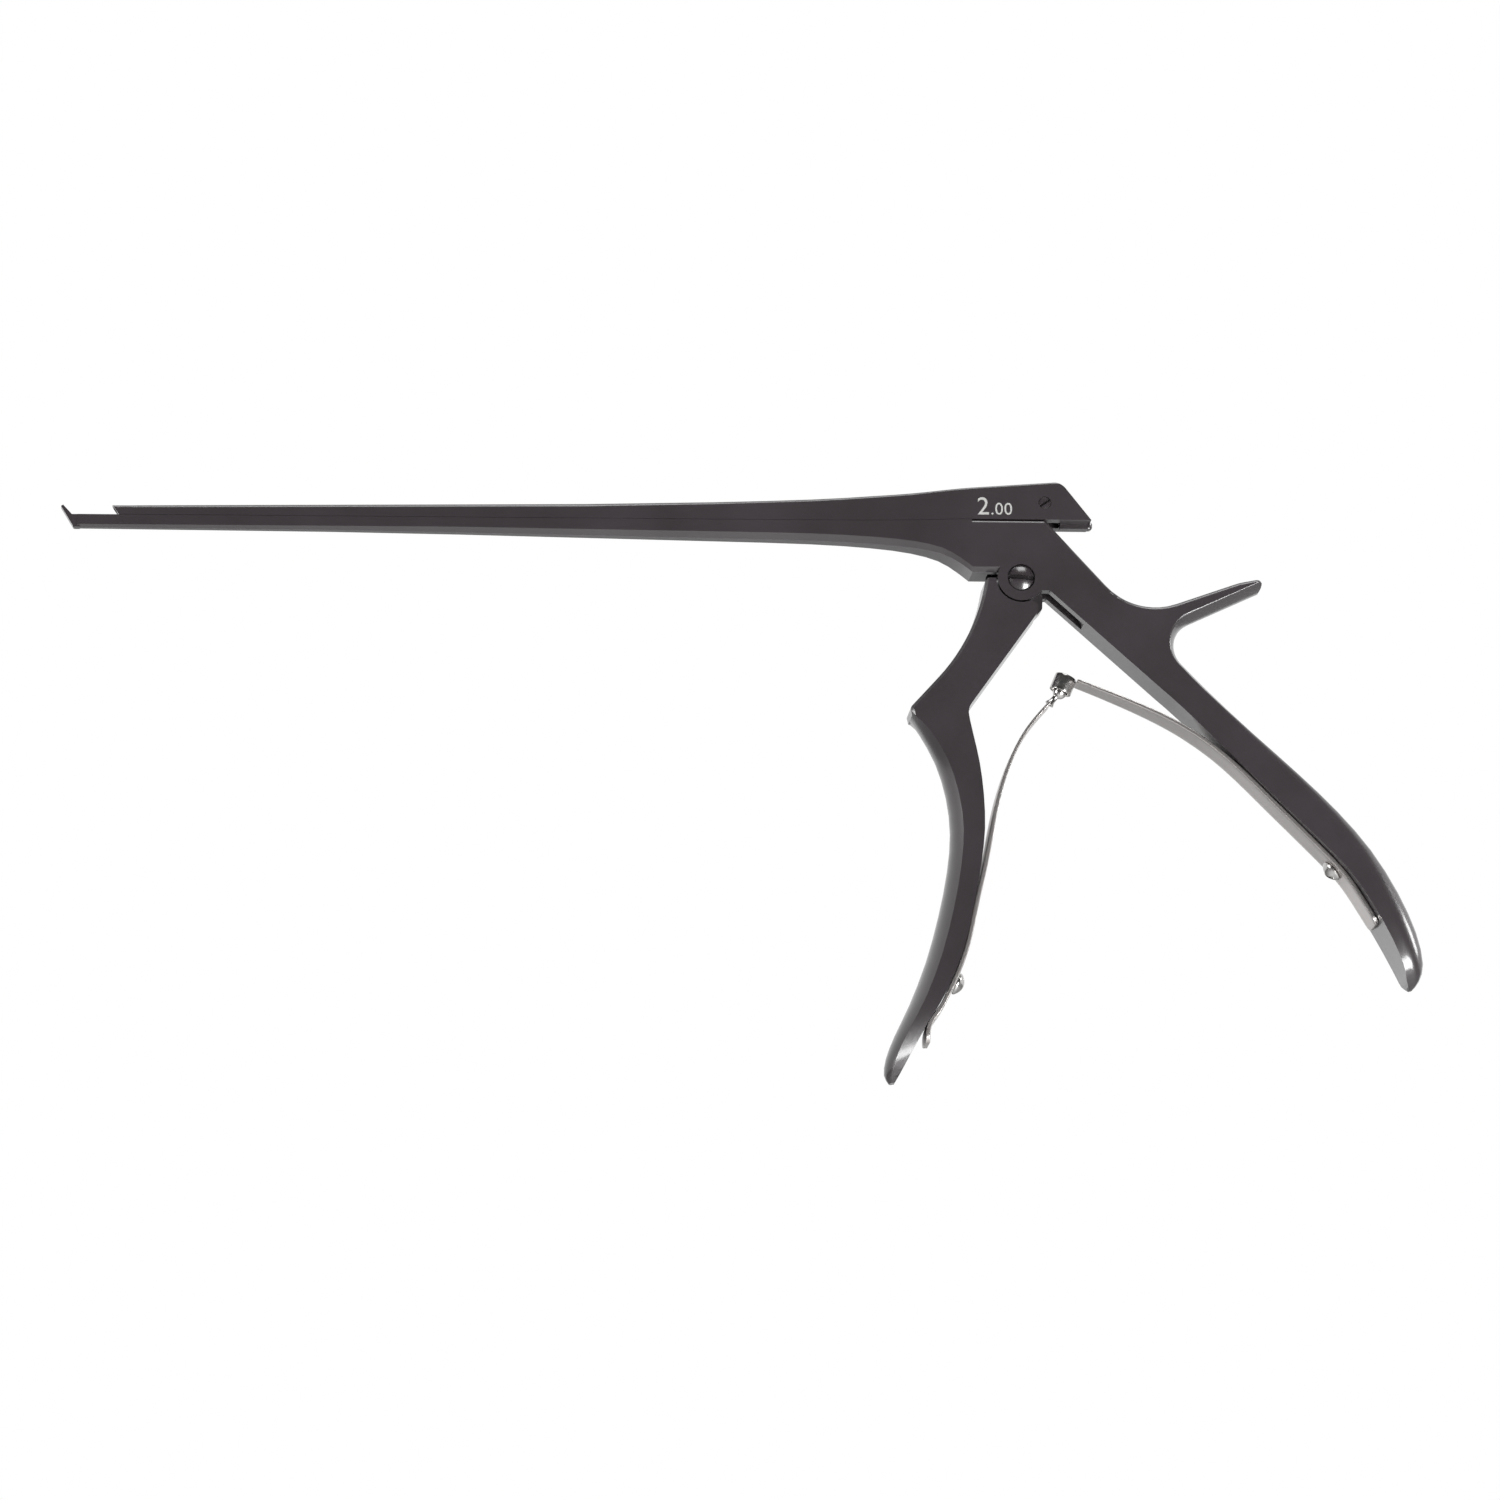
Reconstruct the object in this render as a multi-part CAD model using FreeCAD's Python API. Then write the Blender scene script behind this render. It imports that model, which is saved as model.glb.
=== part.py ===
import FreeCAD, Part
import math
import os
from FreeCAD import Vector

# Bone rongeur: a punch on a long thin shaft, worked by two handles.
# A fixed lower shaft ends in a foot plate and carries the rear handle. An upper shaft slides on it
# and cuts against the foot plate. The front handle turns on the pivot screw and drives the upper
# shaft by a fork. Two leaf springs, joined by a ball in a cup, push the handles apart.
#
# Millimetres. X runs along the shafts, away from the foot plate. Z is up. Y is across, and the
# screw heads are on the -Y side. Drawn about the pivot axis, and moved at the end so that the
# origin lies on the palm saddle of the rear handle, on the middle plane.

# Body and cheeks
body_width = 9.4
seam_z = 11.7
slide_gap = 0.06
tongue_width = 4.0
tongue_side_clearance = 0.12
lobe_radius = 4.6
lobe_gap = 0.35
body_front_x = -9.5
body_under_z = 1.2
body_under_chamfer = 0.9
body_top_back_x = 4.9
saddle_vertex_x = 22.4
saddle_vertex_z = -7.7
saddle_radius = 12.9
saddle_edge_radius = 0.8
spur_bend_x = 43.0
spur_bend_z = -0.5
spur_bend_radius = 14.0
spur_tip_top_x = 47.3
spur_tip_top_z = 0.3
spur_tip_low_x = 47.6
spur_tip_low_z = -1.45
spur_tip_radius = 0.95
palm_vertex_x = 26.5
palm_vertex_z = -11.1
palm_vertex_radius = 5.3
palm_crown = 1.5
palm_edge_radius = 0.5
grip_start_length = 8.3
throat_x = 5.6
throat_z = -2.6

# Fixed shaft and foot plate
foot_tip_x = -186.75
foot_tip_z = 13.55
foot_tip_thickness = 0.42
foot_root_x = -185.05
foot_heel_x = -184.7
foot_width = 2.0
shaft_start_x = -184.0
shaft_start_width = 2.2
shaft_start_height = 2.5
under_chamfer_tip = 0.5
under_chamfer = 1.15

# Sliding shaft
travel = 9.05
bite_clearance = 0.05
cutter_rise_x = 1.25
cutter_height = 1.88
cutter_hollow_radius = 0.72
cutter_hollow_depth = 7.0
slider_peak_x = 8.0
slider_peak_z = 19.45
slider_back_x = 14.0
slider_peak_radius = 3.2

# T-shaped guides under the sliding shaft, near the pivot and near the tip, and its narrow tail
guide_neck_width = 3.2
guide_foot_width = 4.8
guide_lip = 0.72
guide_depth = 1.2
guide_clearance = 0.08
tail_x = 14.7
tail_width = 2.0
tail_depth = 0.85
tail_radius = 0.6
guide_front_x = -13.0
tip_guide_neck_width = 0.9
tip_guide_foot_width = 1.7
tip_guide_lip = 0.45
tip_guide_depth = 1.05
tip_guide_x = -150.0
tip_guide_length = 15.0

# Pivot and link
pivot_head_radius = 2.65
pivot_head_height = 1.3
pivot_shank_radius = 1.6
pivot_end_radius = 1.9
pivot_end_length = 2.2
hinge_clearance = 0.04
head_clearance = 0.05
thread_clearance = 0.02
head_recess = 0.05
slot_width = 0.65
slot_depth = 0.6
link_x = 4.9
link_z = 15.1
link_head_radius = 1.25
link_head_height = 0.9
link_shank_radius = 0.9
fork_clearance = 0.13
fork_wall = 1.25
fork_reach = 1.4
arm_half_width = 1.7
pocket_front = 3.7
pocket_back = 3.3
pocket_roof_z = 17.6

# Front handle
horn_x = -6.95
horn_z = -0.1
horn_radius = 1.0
shoulder_x = 3.35
shoulder_radius = 0.9
arm_inner_x = 3.2
root_x = 4.3
arm_inner_z = -6.9
arm_bend_x = -8.95
arm_bend_z = -11.9
arm_bend_radius = 38.0
knee_x = -22.1
knee_z = -26.2
knee_radius = 1.0
crook_x = -10.9
crook_z = -26.4
crook_radius = 3.0
arm_bevel = 0.6

# Leaf springs, ball and cup
leaf_width = 8.0
leaf_tip_width = 5.8
leaf_thickness = 0.9
leaf_tip_thickness = 0.55
leaf_gap = 0.08
leaf_seat_clearance = 0.09
leaf_hole_clearance = 0.1
leaf_tail_radius = 1.4
leaf_samples = 12
ball_x = 7.7
ball_z = -21.9
ball_radius = 1.4
ball_neck_radius = 0.55
ball_clearance = 0.3
cup_radius = 2.2
cup_height = 3.4
cup_angle = -113.0
stud_angle = -131.0
stud_length = 3.3
spring_head_radius = 2.2
spring_head_height = 1.6
spring_shank_radius = 1.2
spring_shank_length = 4.0

# A length past every piece, for shapes that only cut, and how finely the rows of a loft are resampled
beyond_all = 300.0
loft_steps = 2

mid_y = body_width / 2
slot_half = tongue_width / 2 + tongue_side_clearance
shaft_top_z = seam_z - slide_gap / 2
slider_floor_z = seam_z + slide_gap / 2

# Both shafts, from the foot plate to the body: place, width, underside height, underside chamfer,
# top height, top edge radius.
shaft_rows = [
    (shaft_start_x, shaft_start_width, shaft_top_z - shaft_start_height, under_chamfer_tip, 13.55, 0.7),
    (-160.0, 2.8, 9.2, 0.6, 13.8, 0.8), (-135.0, 3.2, 9.1, 0.75, 14.05, 0.9),
    (-110.0, 3.6, 8.85, 0.9, 14.4, 0.95), (-85.0, 4.1, 8.55, 1.0, 14.75, 0.9),
    (-60.0, 4.7, 8.15, 1.1, 15.3, 0.8), (-41.0, 5.3, 7.8, under_chamfer, 15.95, 0.7),
    (-29.0, 5.9, 7.2, under_chamfer, 16.65, 0.6), (-21.0, 6.9, 6.35, 1.1, 17.2, 0.6),
    (-15.5, 8.25, 5.05, 1.0, 17.65, 0.5), (-11.9, 9.2, 3.05, body_under_chamfer, 17.95, 0.5),
    (body_front_x, body_width, body_under_z, body_under_chamfer, 18.15, 0.5),
]
# The rear grip below its start: palm point, inner point, width, how far the palm's crown stands
# out past its flanks, and the radius of the crown's edges.
rear_grip = [
    (36.42, -21.45, 31.5, -26.1, body_width, palm_crown, palm_edge_radius),
    (45.15, -30.2, 40.7, -35.3, 9.8, 1.7, 1.2), (54.05, -38.65, 49.6, -44.4, 10.8, 2.1, 1.8),
    (61.5, -46.05, 56.9, -51.8, 12.0, 2.8, 2.5), (67.9, -53.65, 62.8, -58.2, 13.0, 3.6, 3.3),
    (73.15, -61.9, 67.2, -65.0, 13.6, 4.7, 4.3), (76.5, -69.95, 71.0, -72.0, 13.0, 4.5, 4.2),
    (77.7, -76.0, 73.3, -77.2, 10.6, 3.4, 3.1), (76.85, -79.3, 74.0, -79.6, 6.6, 1.9, 1.7),
    (75.5, -80.95, 74.9, -81.0, 2.0, 0.45, 0.4),
]
# The front grip from the knee down: finger point, inner point, width, bulge of the finger side.
front_grip = [
    (-21.75, -27.7, -10.45, -29.0, 9.4, 0.5), (-20.0, -30.5, -9.85, -31.8, 9.4, 1.6),
    (-17.0, -36.3, -8.75, -37.2, 9.5, 2.0), (-15.0, -43.2, -8.05, -43.6, 9.7, 2.1),
    (-14.3, -50.4, -7.95, -50.4, 10.0, 2.2), (-15.0, -58.0, -8.8, -57.4, 10.5, 2.3),
    (-16.8, -66.8, -10.4, -65.8, 11.2, 2.5), (-19.4, -76.0, -12.55, -74.6, 12.0, 2.7),
    (-22.7, -84.4, -16.0, -82.7, 12.4, 2.9), (-25.7, -90.6, -19.6, -88.7, 11.6, 2.8),
    (-27.4, -95.0, -22.3, -93.5, 9.6, 2.2), (-27.8, -98.2, -24.4, -97.4, 6.2, 1.4),
    (-26.9, -100.0, -25.8, -99.8, 2.4, 0.5),
]
# Leaf springs: the lifted tail, the rows of the grip that the leaf lies along, and its free span to
# the ball or cup, through the middle of its thickness. Each screw is at the grip's inner side.
front_leaf_tail = (-19.5, -92.4)
front_leaf_rows = (6, 9)
front_leaf_free = [(-7.35, -55.0), (-5.6, -46.2), (-3.0, -37.6), (1.0, -29.8)]
front_screw_row = 7.6
front_leaf_wide_until_z = -52.0
front_leaf_narrow_at_z = -30.0
rear_leaf_tail = (68.6, -68.4)
rear_leaf_rows = (3, 6)
rear_leaf_free = [(38.6, -34.45), (31.4, -29.35), (22.6, -24.9)]
rear_screw_row = 4.72
rear_leaf_wide_until_x = 34.0
rear_leaf_narrow_at_x = 14.0


def at(x, z, y=0.0):
    """A point from its side view place."""
    return Vector(x, y, z)


def heading(degrees):
    """A unit direction in the side view, from +X towards +Z."""
    return Vector(math.cos(math.radians(degrees)), 0, math.sin(math.radians(degrees)))


def rounded_outline(corners, closed=True):
    """A side view outline; each corner is x, z and its radius, 0 for a sharp one or an open end."""
    points = [at(x, z) for x, z, _ in corners]
    ends = []
    for index, (_, _, radius) in enumerate(corners):
        point = points[index]
        if radius == 0:
            ends.append((point, None, point))
            continue
        before = (points[index - 1] - point).normalize()
        after = (points[(index + 1) % len(points)] - point).normalize()
        half = before.getAngle(after) / 2
        reach = radius / math.tan(half)
        middle = (before + after).normalize()
        crown = point + middle * (radius / math.sin(half) - radius)
        ends.append((point + before * reach, crown, point + after * reach))
    edges = []
    for index, (start, crown, finish) in enumerate(ends):
        if crown is not None:
            edges.append(Part.Arc(start, crown, finish).toShape())
        following = ends[(index + 1) % len(ends)][0]
        last = index == len(ends) - 1
        if finish.distanceToPoint(following) > 1e-6 and (closed or not last):
            edges.append(Part.LineSegment(finish, following).toShape())
    return Part.Wire(edges)


def turned(profile, foot, axis):
    """A turned piece: a profile of radius and height, each with an arc's middle or None before it."""
    side = axis.cross(Vector(0, 1, 0)).normalize()

    def spot(radius, height):
        return foot + side * radius + axis * height

    edges = []
    for (start, _), (finish, middle) in zip(profile, profile[1:]):
        if middle is None:
            edges.append(Part.LineSegment(spot(*start), spot(*finish)).toShape())
        else:
            edges.append(Part.Arc(spot(*start), spot(*middle), spot(*finish)).toShape())
    edges.append(Part.LineSegment(spot(*profile[-1][0]), spot(*profile[0][0])).toShape())
    return Part.Face(Part.Wire(edges)).revolve(foot, axis, 360)


def plate(outline, width, middle=0.0):
    """A side view outline given a width across Y, centred on middle."""
    face = Part.Face(outline)
    face.translate(Vector(0, middle - width / 2, 0))
    return face.extrude(Vector(0, width, 0))


def cross_cylinder(x, z, radius, y_start, y_end):
    """A cylinder across the body."""
    return Part.makeCylinder(radius, y_end - y_start, at(x, z, y_start), Vector(0, 1, 0))


def box(x_start, x_end, width, z_start, z_end):
    """A block centred on the middle plane."""
    return Part.makeBox(x_end - x_start, width, z_end - z_start, at(x_start, z_start, -width / 2))


def polygon(points):
    """A closed wire of straight edges."""
    return Part.makePolygon(points + [points[0]])


def smooth_rows(rows, per_span):
    """Rows of numbers resampled along smooth curves through them."""
    before_first = [2 * a - b for a, b in zip(rows[0], rows[1])]
    after_last = [2 * a - b for a, b in zip(rows[-1], rows[-2])]
    padded = [before_first] + [list(row) for row in rows] + [after_last]
    smooth = []
    for index in range(1, len(padded) - 2):
        before, start, finish, after = padded[index - 1:index + 3]
        for step in range(per_span):
            t = step / per_span
            smooth.append([
                q + t * ((r - p) / 2 + t * (p - 2.5 * q + 2 * r - s / 2 + t * (1.5 * (q - r) + (s - p) / 2)))
                for p, q, r, s in zip(before, start, finish, after)
            ])
    return smooth + [list(rows[-1])]


def edges_near(shape, test):
    """The edges whose middle point passes the test."""
    chosen = []
    for edge in shape.Edges:
        middle = edge.valueAt((edge.FirstParameter + edge.LastParameter) / 2)
        if test(edge, middle):
            chosen.append(edge)
    return chosen


def under_section(x, width, low, chamfer, *_):
    """The fixed shaft's cross-section: flat top, chamfered underside."""
    half = width / 2
    return polygon([
        Vector(x, -half, shaft_top_z), Vector(x, half, shaft_top_z), Vector(x, half, low + chamfer),
        Vector(x, half - chamfer, low), Vector(x, chamfer - half, low), Vector(x, -half, low + chamfer),
    ])


def slider_section(x, width, _low, _chamfer, top, radius):
    """The sliding shaft's cross-section: flat floor, rounded top edges."""
    half = width / 2
    lean = radius * (1 - math.sqrt(0.5))
    floor = slider_floor_z
    low_left, low_right = Vector(x, -half, floor), Vector(x, half, floor)
    side_right, side_left = Vector(x, half, top - radius), Vector(x, -half, top - radius)
    top_right, top_left = Vector(x, half - radius, top), Vector(x, radius - half, top)
    return Part.Wire([
        Part.LineSegment(low_left, low_right).toShape(),
        Part.LineSegment(low_right, side_right).toShape(),
        Part.Arc(side_right, Vector(x, half - lean, top - lean), top_right).toShape(),
        Part.LineSegment(top_right, top_left).toShape(),
        Part.Arc(top_left, Vector(x, lean - half, top - lean), side_left).toShape(),
        Part.LineSegment(side_left, low_left).toShape(),
    ])


def section_axes(outer_x, outer_z, inner_x, inner_z):
    """Middle of a grip section's inner side, its outward direction and its depth."""
    foot = at(inner_x, inner_z)
    span = at(outer_x, outer_z) - foot
    depth = span.Length
    return foot, span.normalize(), depth


def crown_points(half, crown, radius):
    """The right half of a crowned side that meets its flanks in round edges.

    Gives y and the depth below the crest for the flank's end, the middle of the edge's arc, the end of
    that arc and the crest.
    """
    reach = half - radius
    crest_radius = (reach ** 2 + crown ** 2 - radius ** 2) / (2 * (crown - radius))
    lean = math.atan2(reach, crest_radius - crown)
    join = (crest_radius * math.sin(lean), crest_radius * (1 - math.cos(lean)))
    half_turn = (math.pi / 2 + lean) / 2
    middle = (reach + radius * math.sin(half_turn), crown - radius * math.cos(half_turn))
    return [(half, crown), middle, join, (0, 0)]


def palm_section(outer_x, outer_z, inner_x, inner_z, width, crown, radius):
    """A section of the rear grip: flat inner side, crowned palm side."""
    foot, out, depth = section_axes(outer_x, outer_z, inner_x, inner_z)
    half = width / 2
    right_inner, left_inner = foot + Vector(0, half, 0), foot - Vector(0, half, 0)
    palm = crown_points(half, crown, radius)
    right = [foot + out * (depth - below) + Vector(0, y, 0) for y, below in palm]
    left = [foot + out * (depth - below) - Vector(0, y, 0) for y, below in palm]
    return Part.Wire([
        Part.LineSegment(left_inner, right_inner).toShape(),
        Part.LineSegment(right_inner, right[0]).toShape(),
        Part.Arc(*right[:3]).toShape(),
        Part.Arc(right[2], right[3], left[2]).toShape(),
        Part.Arc(left[2], left[1], left[0]).toShape(),
        Part.LineSegment(left[0], left_inner).toShape(),
    ])


def finger_section(outer_x, outer_z, inner_x, inner_z, width, bulge):
    """A section of the front grip: flat inner side, flat flanks, bulging finger side."""
    foot, out, depth = section_axes(outer_x, outer_z, inner_x, inner_z)
    across = Vector(0, width / 2, 0)
    right_inner, left_inner = foot + across, foot - across
    right_edge, left_edge = right_inner + out * (depth - bulge), left_inner + out * (depth - bulge)
    return Part.Wire([
        Part.LineSegment(left_inner, right_inner).toShape(),
        Part.LineSegment(right_inner, right_edge).toShape(),
        Part.Arc(right_edge, foot + out * depth, left_edge).toShape(),
        Part.LineSegment(left_edge, left_inner).toShape(),
    ])


def rear_rows():
    """The rows of the rear grip, from the section where it leaves the body, square to the palm line."""
    vertex, palm, inner = at(palm_vertex_x, palm_vertex_z), at(*rear_grip[0][:2]), at(*rear_grip[0][2:4])
    along = (palm - vertex).normalize()
    start = vertex + along * grip_start_length
    throat = at(throat_x, throat_z)
    side = (inner - throat).normalize()
    inner_start = throat + side * ((start - throat).dot(along) / side.dot(along))
    first = (start.x, start.z, inner_start.x, inner_start.z, body_width, palm_crown, palm_edge_radius)
    return [first] + rear_grip


def tee_rail(x_start, x_end, neck, foot, lip, depth):
    """A T-shaped rail hanging under the sliding shaft."""
    stem = box(x_start, x_end, neck, slider_floor_z - depth, slider_floor_z + 0.5)
    flange = box(x_start, x_end, foot, slider_floor_z - depth, slider_floor_z - lip)
    return stem.fuse(flange)


def tee_slot(x_start, x_end, neck, foot, lip, depth):
    """The slot in the fixed shaft that a T-shaped rail runs in."""
    gap = guide_clearance
    top = slider_floor_z
    stem = box(x_start, x_end, neck + 2 * gap, top - depth - gap, top + 1)
    flange = box(x_start, x_end, foot + 2 * gap, top - depth - gap, top - lip + gap)
    return stem.fuse(flange)


def palm_side():
    """What is cut away to crown the spur's underside and the palm side: a profile swept along both."""
    palm_x, palm_z = rear_grip[0][:2]
    tip, low = at(spur_tip_low_x, spur_tip_low_z), at(palm_vertex_x, palm_vertex_z)
    start = tip + (tip - low).normalize() * 5
    path = rounded_outline([
        (start.x, start.z, 0), (palm_vertex_x, palm_vertex_z, palm_vertex_radius), (palm_x, palm_z, 0),
    ], closed=False)
    along = (low - tip).normalize()
    out = Vector(-along.z, 0, along.x)

    def spot(y, below):
        return start + Vector(0, y, 0) - out * below

    crown = crown_points(mid_y, palm_crown, palm_edge_radius)
    right = [spot(y, below) for y, below in crown]
    left = [spot(-y, below) for y, below in crown]
    past = mid_y + 1
    profile = Part.Wire([
        Part.Arc(*right[:3]).toShape(), Part.Arc(right[2], right[3], left[2]).toShape(),
        Part.Arc(left[2], left[1], left[0]).toShape(),
        Part.makePolygon([left[0], spot(-past, palm_crown), spot(-past, -2), spot(past, -2),
                          spot(past, palm_crown), right[0]]),
    ])
    return path.makePipeShell([profile], True, False)


def body_plate():
    """The flat body with the palm saddle and the spur, down to the start of the rear grip."""
    palm_x, palm_z, inner_x, inner_z = rear_grip[0][:4]
    outline = rounded_outline([
        (body_front_x, shaft_top_z, 0), (body_top_back_x, shaft_top_z, 0.3),
        (saddle_vertex_x, saddle_vertex_z, saddle_radius),
        (spur_bend_x, spur_bend_z, spur_bend_radius),
        (spur_tip_top_x, spur_tip_top_z, spur_tip_radius),
        (spur_tip_low_x, spur_tip_low_z, spur_tip_radius),
        (palm_vertex_x, palm_vertex_z, palm_vertex_radius), (palm_x, palm_z, 0), (inner_x, inner_z, 0),
        (throat_x, throat_z, 0.3), (0.0, throat_z + 0.1, 0), (-2.0, body_under_z, 0),
        (body_front_x, body_under_z, 0),
    ])
    solid = plate(outline, body_width)

    def on_back(edge, middle):
        flat = abs(abs(middle.y) - mid_y) < 1e-3
        above = middle.z > spur_tip_low_z and middle.x > body_top_back_x + 1
        saddle = edge.Curve.TypeId == "Part::GeomCircle" and abs(edge.Curve.Radius - saddle_radius) < 0.1
        return flat and (above or saddle)

    def on_front_underside(edge, middle):
        flat = abs(abs(middle.y) - mid_y) < 1e-3
        return flat and abs(middle.z - body_under_z) < 1e-3

    solid = solid.makeFillet(saddle_edge_radius, edges_near(solid, on_back))
    solid = solid.makeChamfer(body_under_chamfer, edges_near(solid, on_front_underside))
    solid = solid.cut(palm_side())
    start_x, start_z, end_x, end_z = rear_rows()[0][:4]
    span = at(start_x - end_x, start_z - end_z)
    past = Vector(span.z, 0, -span.x) * 3
    beyond = polygon([
        at(start_x, start_z) + span, at(end_x, end_z) - span, at(end_x, end_z) - span + past,
        at(start_x, start_z) + span + past,
    ])
    return solid.cut(plate(beyond, 2 * body_width))


def fixed_shaft():
    """The lower shaft with its foot plate."""
    bar = Part.makeLoft([under_section(*row) for row in smooth_rows(shaft_rows, loft_steps)], True, True)
    low = shaft_top_z - shaft_start_height
    foot = plate(rounded_outline([
        (shaft_start_x + 0.5, shaft_top_z, 0), (shaft_start_x + 0.5, low, 0), (foot_heel_x, low, 0.35),
        (foot_tip_x - foot_tip_thickness, foot_tip_z - 0.25, 0.1), (foot_tip_x, foot_tip_z, 0.08),
        (foot_root_x, shaft_top_z, 0.15),
    ]), foot_width)
    return bar.fuse(foot)


def arm_sweep():
    """The space that the front handle's tongue and arm sweep inside the body."""
    reach = lobe_radius + 1.9
    disc = cross_cylinder(0, 0, reach, -slot_half, slot_half)
    chimney = plate(rounded_outline([
        (-6.4, seam_z + 1, 0), (-5.2, 4.0, 0), (5.4, 4.0, 0), (7.4, seam_z + 1, 0),
    ]), 2 * slot_half)
    mouth = plate(rounded_outline([
        (-3.0, 0.0, 0), (-8.6, 0.0, 0), (-8.6, -8.0, 0), (4.4, -4.6, 0), (10.6, -10.8, 0),
        (12.9, -9.2, 1.6), (11.5, -6.7, 1.6), (5.6, -0.6, 0),
    ]), 2 * slot_half)
    return disc.fuse([chimney, mouth])


def fixed_shaft_frame():
    """Lower shaft, body and rear handle, forged in one piece."""
    grip = Part.makeLoft([palm_section(*row) for row in smooth_rows(rear_rows(), loft_steps)], True, True)
    lobe = cross_cylinder(0, 0, lobe_radius, -mid_y, mid_y)
    solid = body_plate().fuse([lobe, fixed_shaft(), grip])
    rear_guide = tee_slot(
        guide_front_x - travel - 0.3, 40, guide_neck_width, guide_foot_width, guide_lip, guide_depth)
    tip_guide = tee_slot(
        tip_guide_x - travel - 0.3, tip_guide_x + tip_guide_length + 0.3, tip_guide_neck_width,
        tip_guide_foot_width, tip_guide_lip, tip_guide_depth)
    head_floor = -mid_y + pivot_head_height + head_recess
    head_seat = cross_cylinder(0, 0, pivot_head_radius + head_clearance, -mid_y - 1, head_floor)
    shank_bore = cross_cylinder(0, 0, pivot_shank_radius + hinge_clearance, -mid_y, mid_y)
    end_radius = pivot_end_radius + thread_clearance
    end_bore = cross_cylinder(0, 0, end_radius, mid_y - pivot_end_length, mid_y + 1)
    screw_bore = spring_bore(*rear_screw_seat())
    return solid.cut([
        arm_sweep(), rear_guide, tip_guide, head_seat, shank_bore, end_bore, screw_bore,
    ])


def sliding_shaft():
    """The upper shaft: cutter at the front, pocket for the fork at the rear, T-shaped rails below."""
    bar = Part.makeLoft([slider_section(*row) for row in smooth_rows(shaft_rows, loft_steps)], True, True)
    cutter_x = foot_root_x + travel + bite_clearance
    nose_x, nose_top_z = shaft_start_x - travel, slider_floor_z + 4 * cutter_height
    nose = plate(rounded_outline([
        (cutter_x, slider_floor_z, 0), (cutter_x - 4 * cutter_rise_x, nose_top_z, 0),
        (nose_x, nose_top_z, 0), (nose_x, slider_floor_z - 1, 0), (cutter_x, slider_floor_z - 1, 0),
    ]), body_width)
    front_row = shaft_rows[-1]
    top_slope = (slider_peak_z - front_row[4]) / (slider_peak_x - body_front_x)
    back_top_z = front_row[4] + top_slope * (slider_back_x - body_front_x)
    back_row = (slider_back_x, *front_row[1:4], back_top_z, front_row[5])
    side_view = plate(rounded_outline([
        (body_front_x, slider_floor_z, 0), (slider_back_x, slider_floor_z, 0),
        (slider_peak_x, slider_peak_z, slider_peak_radius), (body_front_x, front_row[4], 0),
    ]), body_width)
    block = Part.makeLoft([slider_section(*front_row), slider_section(*back_row)], True, True)
    bar = bar.cut(nose).fuse(block.common(side_view))
    tail = plate(rounded_outline([
        (link_x, slider_floor_z + 1, 0), (link_x, slider_floor_z - tail_depth, 0),
        (tail_x, slider_floor_z - tail_depth, tail_radius), (tail_x, slider_floor_z + 0.3, 0.3),
        (tail_x - 1.5, slider_floor_z + 1, 0),
    ]), tail_width)
    tail_round_x = tail_x - tail_width / 2
    tail_low_z, tail_high_z = slider_floor_z - 2 * tail_depth, slider_floor_z + 2 * tail_depth
    tail_plan = box(0, tail_round_x, tail_width, tail_low_z, tail_high_z).fuse(
        Part.makeCylinder(tail_width / 2, tail_high_z - tail_low_z, at(tail_round_x, tail_low_z)))
    tail = tail.common(tail_plan)
    front = tee_rail(
        guide_front_x, link_x - pocket_front, guide_neck_width, guide_foot_width, guide_lip, guide_depth)
    tip = tee_rail(
        tip_guide_x, tip_guide_x + tip_guide_length, tip_guide_neck_width, tip_guide_foot_width,
        tip_guide_lip, tip_guide_depth)
    pocket = plate(rounded_outline([
        (link_x - pocket_front, slider_floor_z - 3, 0), (link_x - pocket_front, pocket_roof_z, 1.0),
        (link_x + pocket_back, pocket_roof_z, 1.0), (link_x + pocket_back, slider_floor_z - 3, 0),
    ]), 2 * slot_half)
    hollow = Part.makeCylinder(
        cutter_hollow_radius, cutter_hollow_depth + cutter_rise_x,
        at(cutter_x - cutter_rise_x, slider_floor_z + cutter_height / 2 - 0.05), Vector(1, 0, 0))
    head_floor = -mid_y + link_head_height + head_recess
    head_seat = cross_cylinder(link_x, link_z, link_head_radius + thread_clearance, -mid_y - 1, head_floor)
    bore = cross_cylinder(link_x, link_z, link_shank_radius + thread_clearance, -mid_y, mid_y + 1)
    return bar.fuse([tail, front, tip]).cut([pocket, hollow, head_seat, bore])


def fork_arm():
    """The arm above the pivot, with the open fork that holds the link screw."""
    reach = math.hypot(link_x, link_z)
    slot = link_shank_radius + fork_clearance
    head = slot + fork_wall
    arm = plate(rounded_outline([
        (-arm_half_width, 0, 0), (arm_half_width, 0, 0), (arm_half_width, reach - 3.0, 0),
        (head, reach - 1.7, 0.6), (head, reach + fork_reach, 0.7), (-head, reach + fork_reach, 0.7),
        (-head, reach - 1.7, 0.6), (-arm_half_width, reach - 3.0, 0),
    ]), tongue_width)
    gap = plate(rounded_outline([
        (-slot, reach - 0.95 - slot, slot * 0.98), (slot, reach - 0.95 - slot, slot * 0.98),
        (slot, reach + 3, 0), (-slot, reach + 3, 0),
    ]), tongue_width + 1)
    arm = arm.cut(gap)
    arm.rotate(Vector(0, 0, 0), Vector(0, 1, 0), math.degrees(math.atan2(link_x, link_z)))
    return arm


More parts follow.
